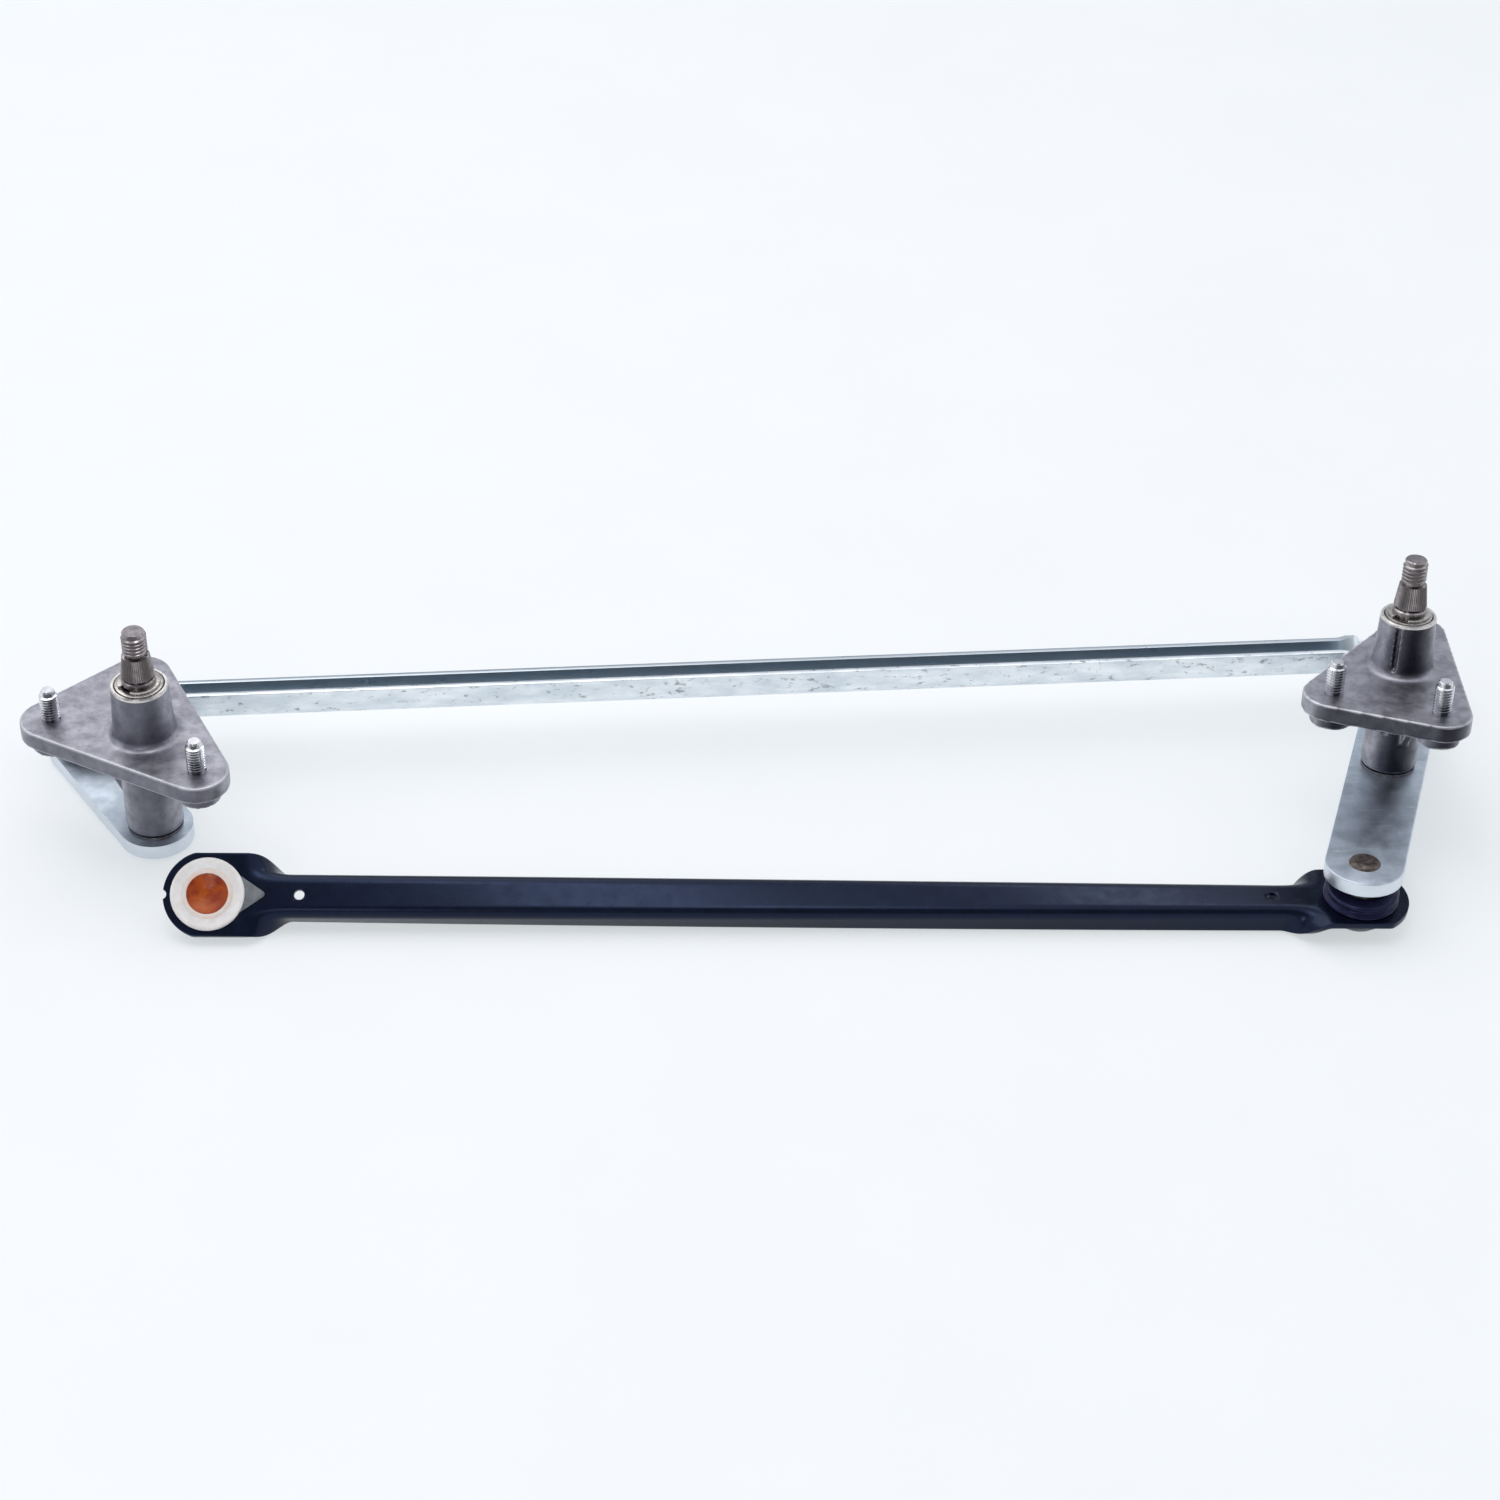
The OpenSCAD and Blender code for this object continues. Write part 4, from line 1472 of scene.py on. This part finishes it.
@dataclass
class Linkage:
    """The whole linkage, its links and levers laid out from the frame's joints.

    Attributes:
        con_t: sheet thickness of the connecting link, in millimetres
        drv_t: sheet thickness of the drive link
        link_reach: ball centre above a lever's face at the connecting link
        lever_t: thickness of the levers
    """

    con_t: float = 1.8
    drv_t: float = 2.0
    link_reach: float = 10.4
    drive_reach: float = 8.5
    lever_t: float = 5.0
    lever_w: float = 25
    drive_twist: float = 39
    eye_r: float = 9.2
    pilot_r: float = 1.65
    pilot_x: float = 28.5

    def __post_init__(self) -> None:
        """Finds the balls and the spindles in the frame."""
        self.left = joint_seat("left_spindle_turn")
        self.right = joint_seat("right_spindle_turn")
        self.left_ball = Vector(JOINTS["left_crank_swing"]["pos_m"])
        self.rear_ball = Vector(JOINTS["connecting_rod_swing"]["pos_m"])
        self.front_ball = Vector(JOINTS["drive_rod_swing"]["pos_m"])
        self.motor_ball = Vector(MOUNTS["motor_ball_socket"]["pos_m"])

    def build(self) -> None:
        """Makes every piece of the linkage."""
        for side, alloy in ((Side.LEFT, CAST_ALLOY), (Side.RIGHT, CAST_ALLOY_DEEPER_REFLECTION)):
            SpindleHousing(side, alloy).build()
        self.levers()
        self.connecting_link()
        self.drive_link()

    def levers(self) -> None:
        """Makes the crank, the lever and their ball studs."""
        crank = self.left.inverted() @ self.left_ball
        FlatLever("left_crank", "left_rocker", self.left, (Vector((0, 0, 0)), crank)).bar()
        rear = self.right.inverted() @ self.rear_ball
        front = self.right.inverted() @ self.front_ball
        FlatLever("right_lever", "right_rocker", self.right, (front, rear), self.lever_w).bar()
        below = Matrix.Translation((0, 0, -self.lever_t * MM)) @ Matrix.Rotation(math.pi, 4, "X")
        for node, body, place, spot, turned, reach in (
            ("left_ball_stud", "left_rocker", self.left, crank, Matrix.Identity(4), self.link_reach),
            ("rear_ball_stud", "right_rocker", self.right, rear, Matrix.Identity(4), self.link_reach),
            ("front_ball_stud", "right_rocker", self.right, front, below, self.drive_reach),
        ):
            stand = place @ Matrix.Translation((spot.x, spot.y, 0)) @ turned
            BallStud(node, body, stand, reach).build()

    def eyes(self, length: float) -> tuple[tuple[float, float], ...]:
        """The holes for the sockets at the two ends of a link of this length in millimetres."""
        return (self.eye_r, 0.0), (self.eye_r, length)

    def connecting_link(self) -> None:
        """Makes the zinc plated link and the sockets at its two ends."""
        span = self.rear_ball - self.left_ball
        side = UP.cross(span)
        place = seat(self.left_ball, span.cross(side), span)
        FoldedLink(
            "connecting_link", "connecting_rod", place, span.length / MM, self.con_t, web=1.7, half=11.8,
            channel=11.8, eyes=(12.2, 12.2), fold=1, twist=0, finish=ZINC_STRIP, slot=Slot.SHEET,
            holes=self.eyes(span.length / MM),
        ).build()
        over = Matrix.Rotation(math.pi, 4, "X")
        for name, x in (("link_left", 0.0), ("link_right", span.length)):
            spot = place @ Matrix.Translation((x, 0, 0)) @ over
            BallSocket(name, "connecting_rod", spot, self.con_t, self.link_reach, cap=7.3).build()

    def drive_link(self) -> None:
        """Makes the black link, the joint at its lever end and the open socket at its motor end."""
        span = self.front_ball - self.motor_ball
        side = UP.cross(span)
        place = seat(self.motor_ball, span.cross(side), span)
        length = span.length / MM
        FoldedLink(
            "drive_link", "drive_rod", place, length, self.drv_t, web=4.8, half=13.3, channel=12.6,
            eyes=(14, 15.5), fold=-1, twist=self.drive_twist, finish=BLACK_PAINT, slot=Slot.PAINT,
            notch_r=1.6,
            holes=((self.pilot_r, self.pilot_x), (self.pilot_r, length - self.pilot_x), *self.eyes(length)),
        ).build()
        lever_end = place @ Matrix.Translation((span.length, 0, 0))
        BallSocket(
            "drive", "drive_rod", lever_end, self.drv_t, self.drive_reach, cap=7.7, finish=NYLON_GREY,
        ).build()
        twisted = place @ Matrix.Rotation(math.radians(self.drive_twist), 4, "X")
        MotorSocket("drive_rod", twisted, self.drv_t).build()


@dataclass
class Studio:
    """A pale floor, soft light from above and the camera where the photograph was taken.

    Attributes:
        image_px: the image's width
        focal_px: focal length, in the image's pixels
        azimuth: camera's bearing, in degrees, 0 looks along +Y
        elevation: its height above the horizon
        roll: its roll
        distance: from the target, in metres
        target: the point that the middle of the image shows
        floor_r: how far the floor reaches, in metres
        floor_rise: how high it sweeps up there
        floor_drop: gap between the floor and the lowest piece
        lies_on: the body that stays flat on the floor while a housing is turned on it
        side_light: light of the side walls, as a share of the ceiling's
        front_shade: how much of it the front wall takes away
        glow: strength of the walls and the ceiling
    """

    image_px: float = 1500
    sensor_mm: float = 36
    focal_px: float = 3024.1
    azimuth: float = -6.207
    elevation: float = 38.058
    roll: float = 1.948
    distance: float = 1.03886
    target: Spot = (-0.00256, 0.04663, -0.00359)
    floor_r: float = 12.0
    floor_rise: float = 3.2
    lies_on: str = "right_rocker"
    floor_drop: float = 0.0001
    side_light: float = 0.55
    front_shade: float = 1.3
    glow: float = 1.12

    def build(self) -> None:
        """Sets up the floor, the light and the camera."""
        bpy.context.scene.view_settings.view_transform = "Standard"
        self.floor()
        self.world()
        for name, spot, size, power, code in (
            ("key_softbox", (-0.45, 0.55, 1.15), 1.1, 5.0, "fffdfa"),
            ("small_softbox", (-0.5, -1.0, 0.7), 0.3, 1.6, "ffffff"),
            ("ceiling_softbox", (-0.045, -0.12, 1.3), 0.36, 1.3, "ffffff"),
            ("rear_softbox", (0.36, 0.61, 1.0), 0.2, 0.45, "ffffff"),
        ):
            self.lamp(name, spot, size, power, code)
        self.camera()

    def floor(self) -> None:
        """A white paper sheet under the object that sweeps up far away, to fill every view."""
        far, high = self.floor_r / MM, self.floor_rise / MM
        flat, steps = 0.65, 12  # share of the sheet that lies flat, and parts of its sweep
        sweep = [math.pi / 2 * i / steps for i in range(steps + 1)]
        curve = [(far * (flat + (1 - flat) * math.sin(a)), high * (1 - math.cos(a))) for a in sweep]
        bm = turn([(0, 0), *curve], steps=96)
        bmesh.ops.translate(bm, verts=bm.verts, vec=(0, 0, -self.floor_drop))
        bmesh.ops.recalc_face_normals(bm, faces=bm.faces)
        paper = Paper(
            "matt_white_paper", light="f6f6f8", dark="f3f3f6", metallic=0, roughness=0.7, spread=0.03,
            patch_mm=90, grain_mm=3, relief=0.02,
        )
        made = loose_object("floor", bm)
        made.data.materials.append(paper.material())
        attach(made, self.lies_on)

    def world(self) -> None:
        """Bright sides and a bright ceiling, with darker walls in front and behind for the metal."""
        world = bpy.data.worlds.new("soft_studio")
        world.use_nodes = True
        tree = world.node_tree
        tree.nodes.clear()
        way = add(tree, "ShaderNodeTexCoord").outputs["Generated"]
        sides = add(tree, "ShaderNodeVectorMath", {0: way}, operation="ABSOLUTE").outputs["Vector"]
        bright, dim = (self.side_light, 0, 1), (0, -self.front_shade, 0)
        lit = add(tree, "ShaderNodeVectorMath", {0: sides, 1: bright}, operation="DOT_PRODUCT")
        front = add(tree, "ShaderNodeVectorMath", {0: way, 1: dim}, operation="DOT_PRODUCT")
        front = add(tree, "ShaderNodeMath", {0: front.outputs["Value"], 1: 0.0}, operation="MAXIMUM")
        lit = add(tree, "ShaderNodeMath", {
            0: lit.outputs["Value"], 1: front.outputs["Value"],
        }, operation="SUBTRACT")
        stops = (
            (0.0, "84868d"), (0.36, "74777e"), (0.62, "d9dde6"), (0.8, "ffffff"), (0.92, "969ba5"),
            (1.0, "eef0f6"),
        )
        glow = add(tree, "ShaderNodeValToRGB", {"Fac": lit.outputs["Value"]}, stops).outputs["Color"]
        light = add(tree, "ShaderNodeBackground", {"Color": glow, "Strength": self.glow})
        add(tree, "ShaderNodeOutputWorld", {"Surface": light.outputs["Background"]})
        bpy.context.scene.world = world

    def lamp(self, name: str, spot: Spot, size: float, power: float, code: str) -> None:
        """Hangs a square softbox that faces the object.

        Args:
            name: the lamp's name
            spot: where it hangs, in metres
            size: its width
            power: its power, in watts
            code: its colour
        """
        light = bpy.data.lights.new(name, "AREA")
        light.size = size
        light.energy = power
        light.color = linear(code)[:3]
        made = bpy.data.objects.new(name, light)
        made.matrix_world = seat(Vector(spot), Vector(spot))
        bpy.context.scene.collection.objects.link(made)

    def camera(self) -> None:
        """Stands the camera where the photograph was taken."""
        a, e, r = (math.radians(d) for d in (self.azimuth, self.elevation, self.roll))
        back = Vector((math.sin(a) * math.cos(e), -math.cos(a) * math.cos(e), math.sin(e)))
        right = Vector((math.cos(a), math.sin(a), 0))
        up = back.cross(right)
        right, up = right * math.cos(r) + up * math.sin(r), up * math.cos(r) - right * math.sin(r)
        lens = bpy.data.cameras.new("camera")
        lens.sensor_width = self.sensor_mm
        lens.lens = self.focal_px / self.image_px * self.sensor_mm
        lens.clip_start = 0.01
        made = bpy.data.objects.new("camera", lens)
        spot = Vector(self.target) + back * self.distance
        made.matrix_world = Matrix.Translation(spot) @ Matrix((right, up, back)).transposed().to_4x4()
        bpy.context.scene.collection.objects.link(made)
        bpy.context.scene.camera = made


def main() -> None:
    """Builds the studio and the linkage."""
    logging.basicConfig(level=logging.INFO)
    Studio().build()
    Linkage().build()


if __name__ == "__main__":
    main()
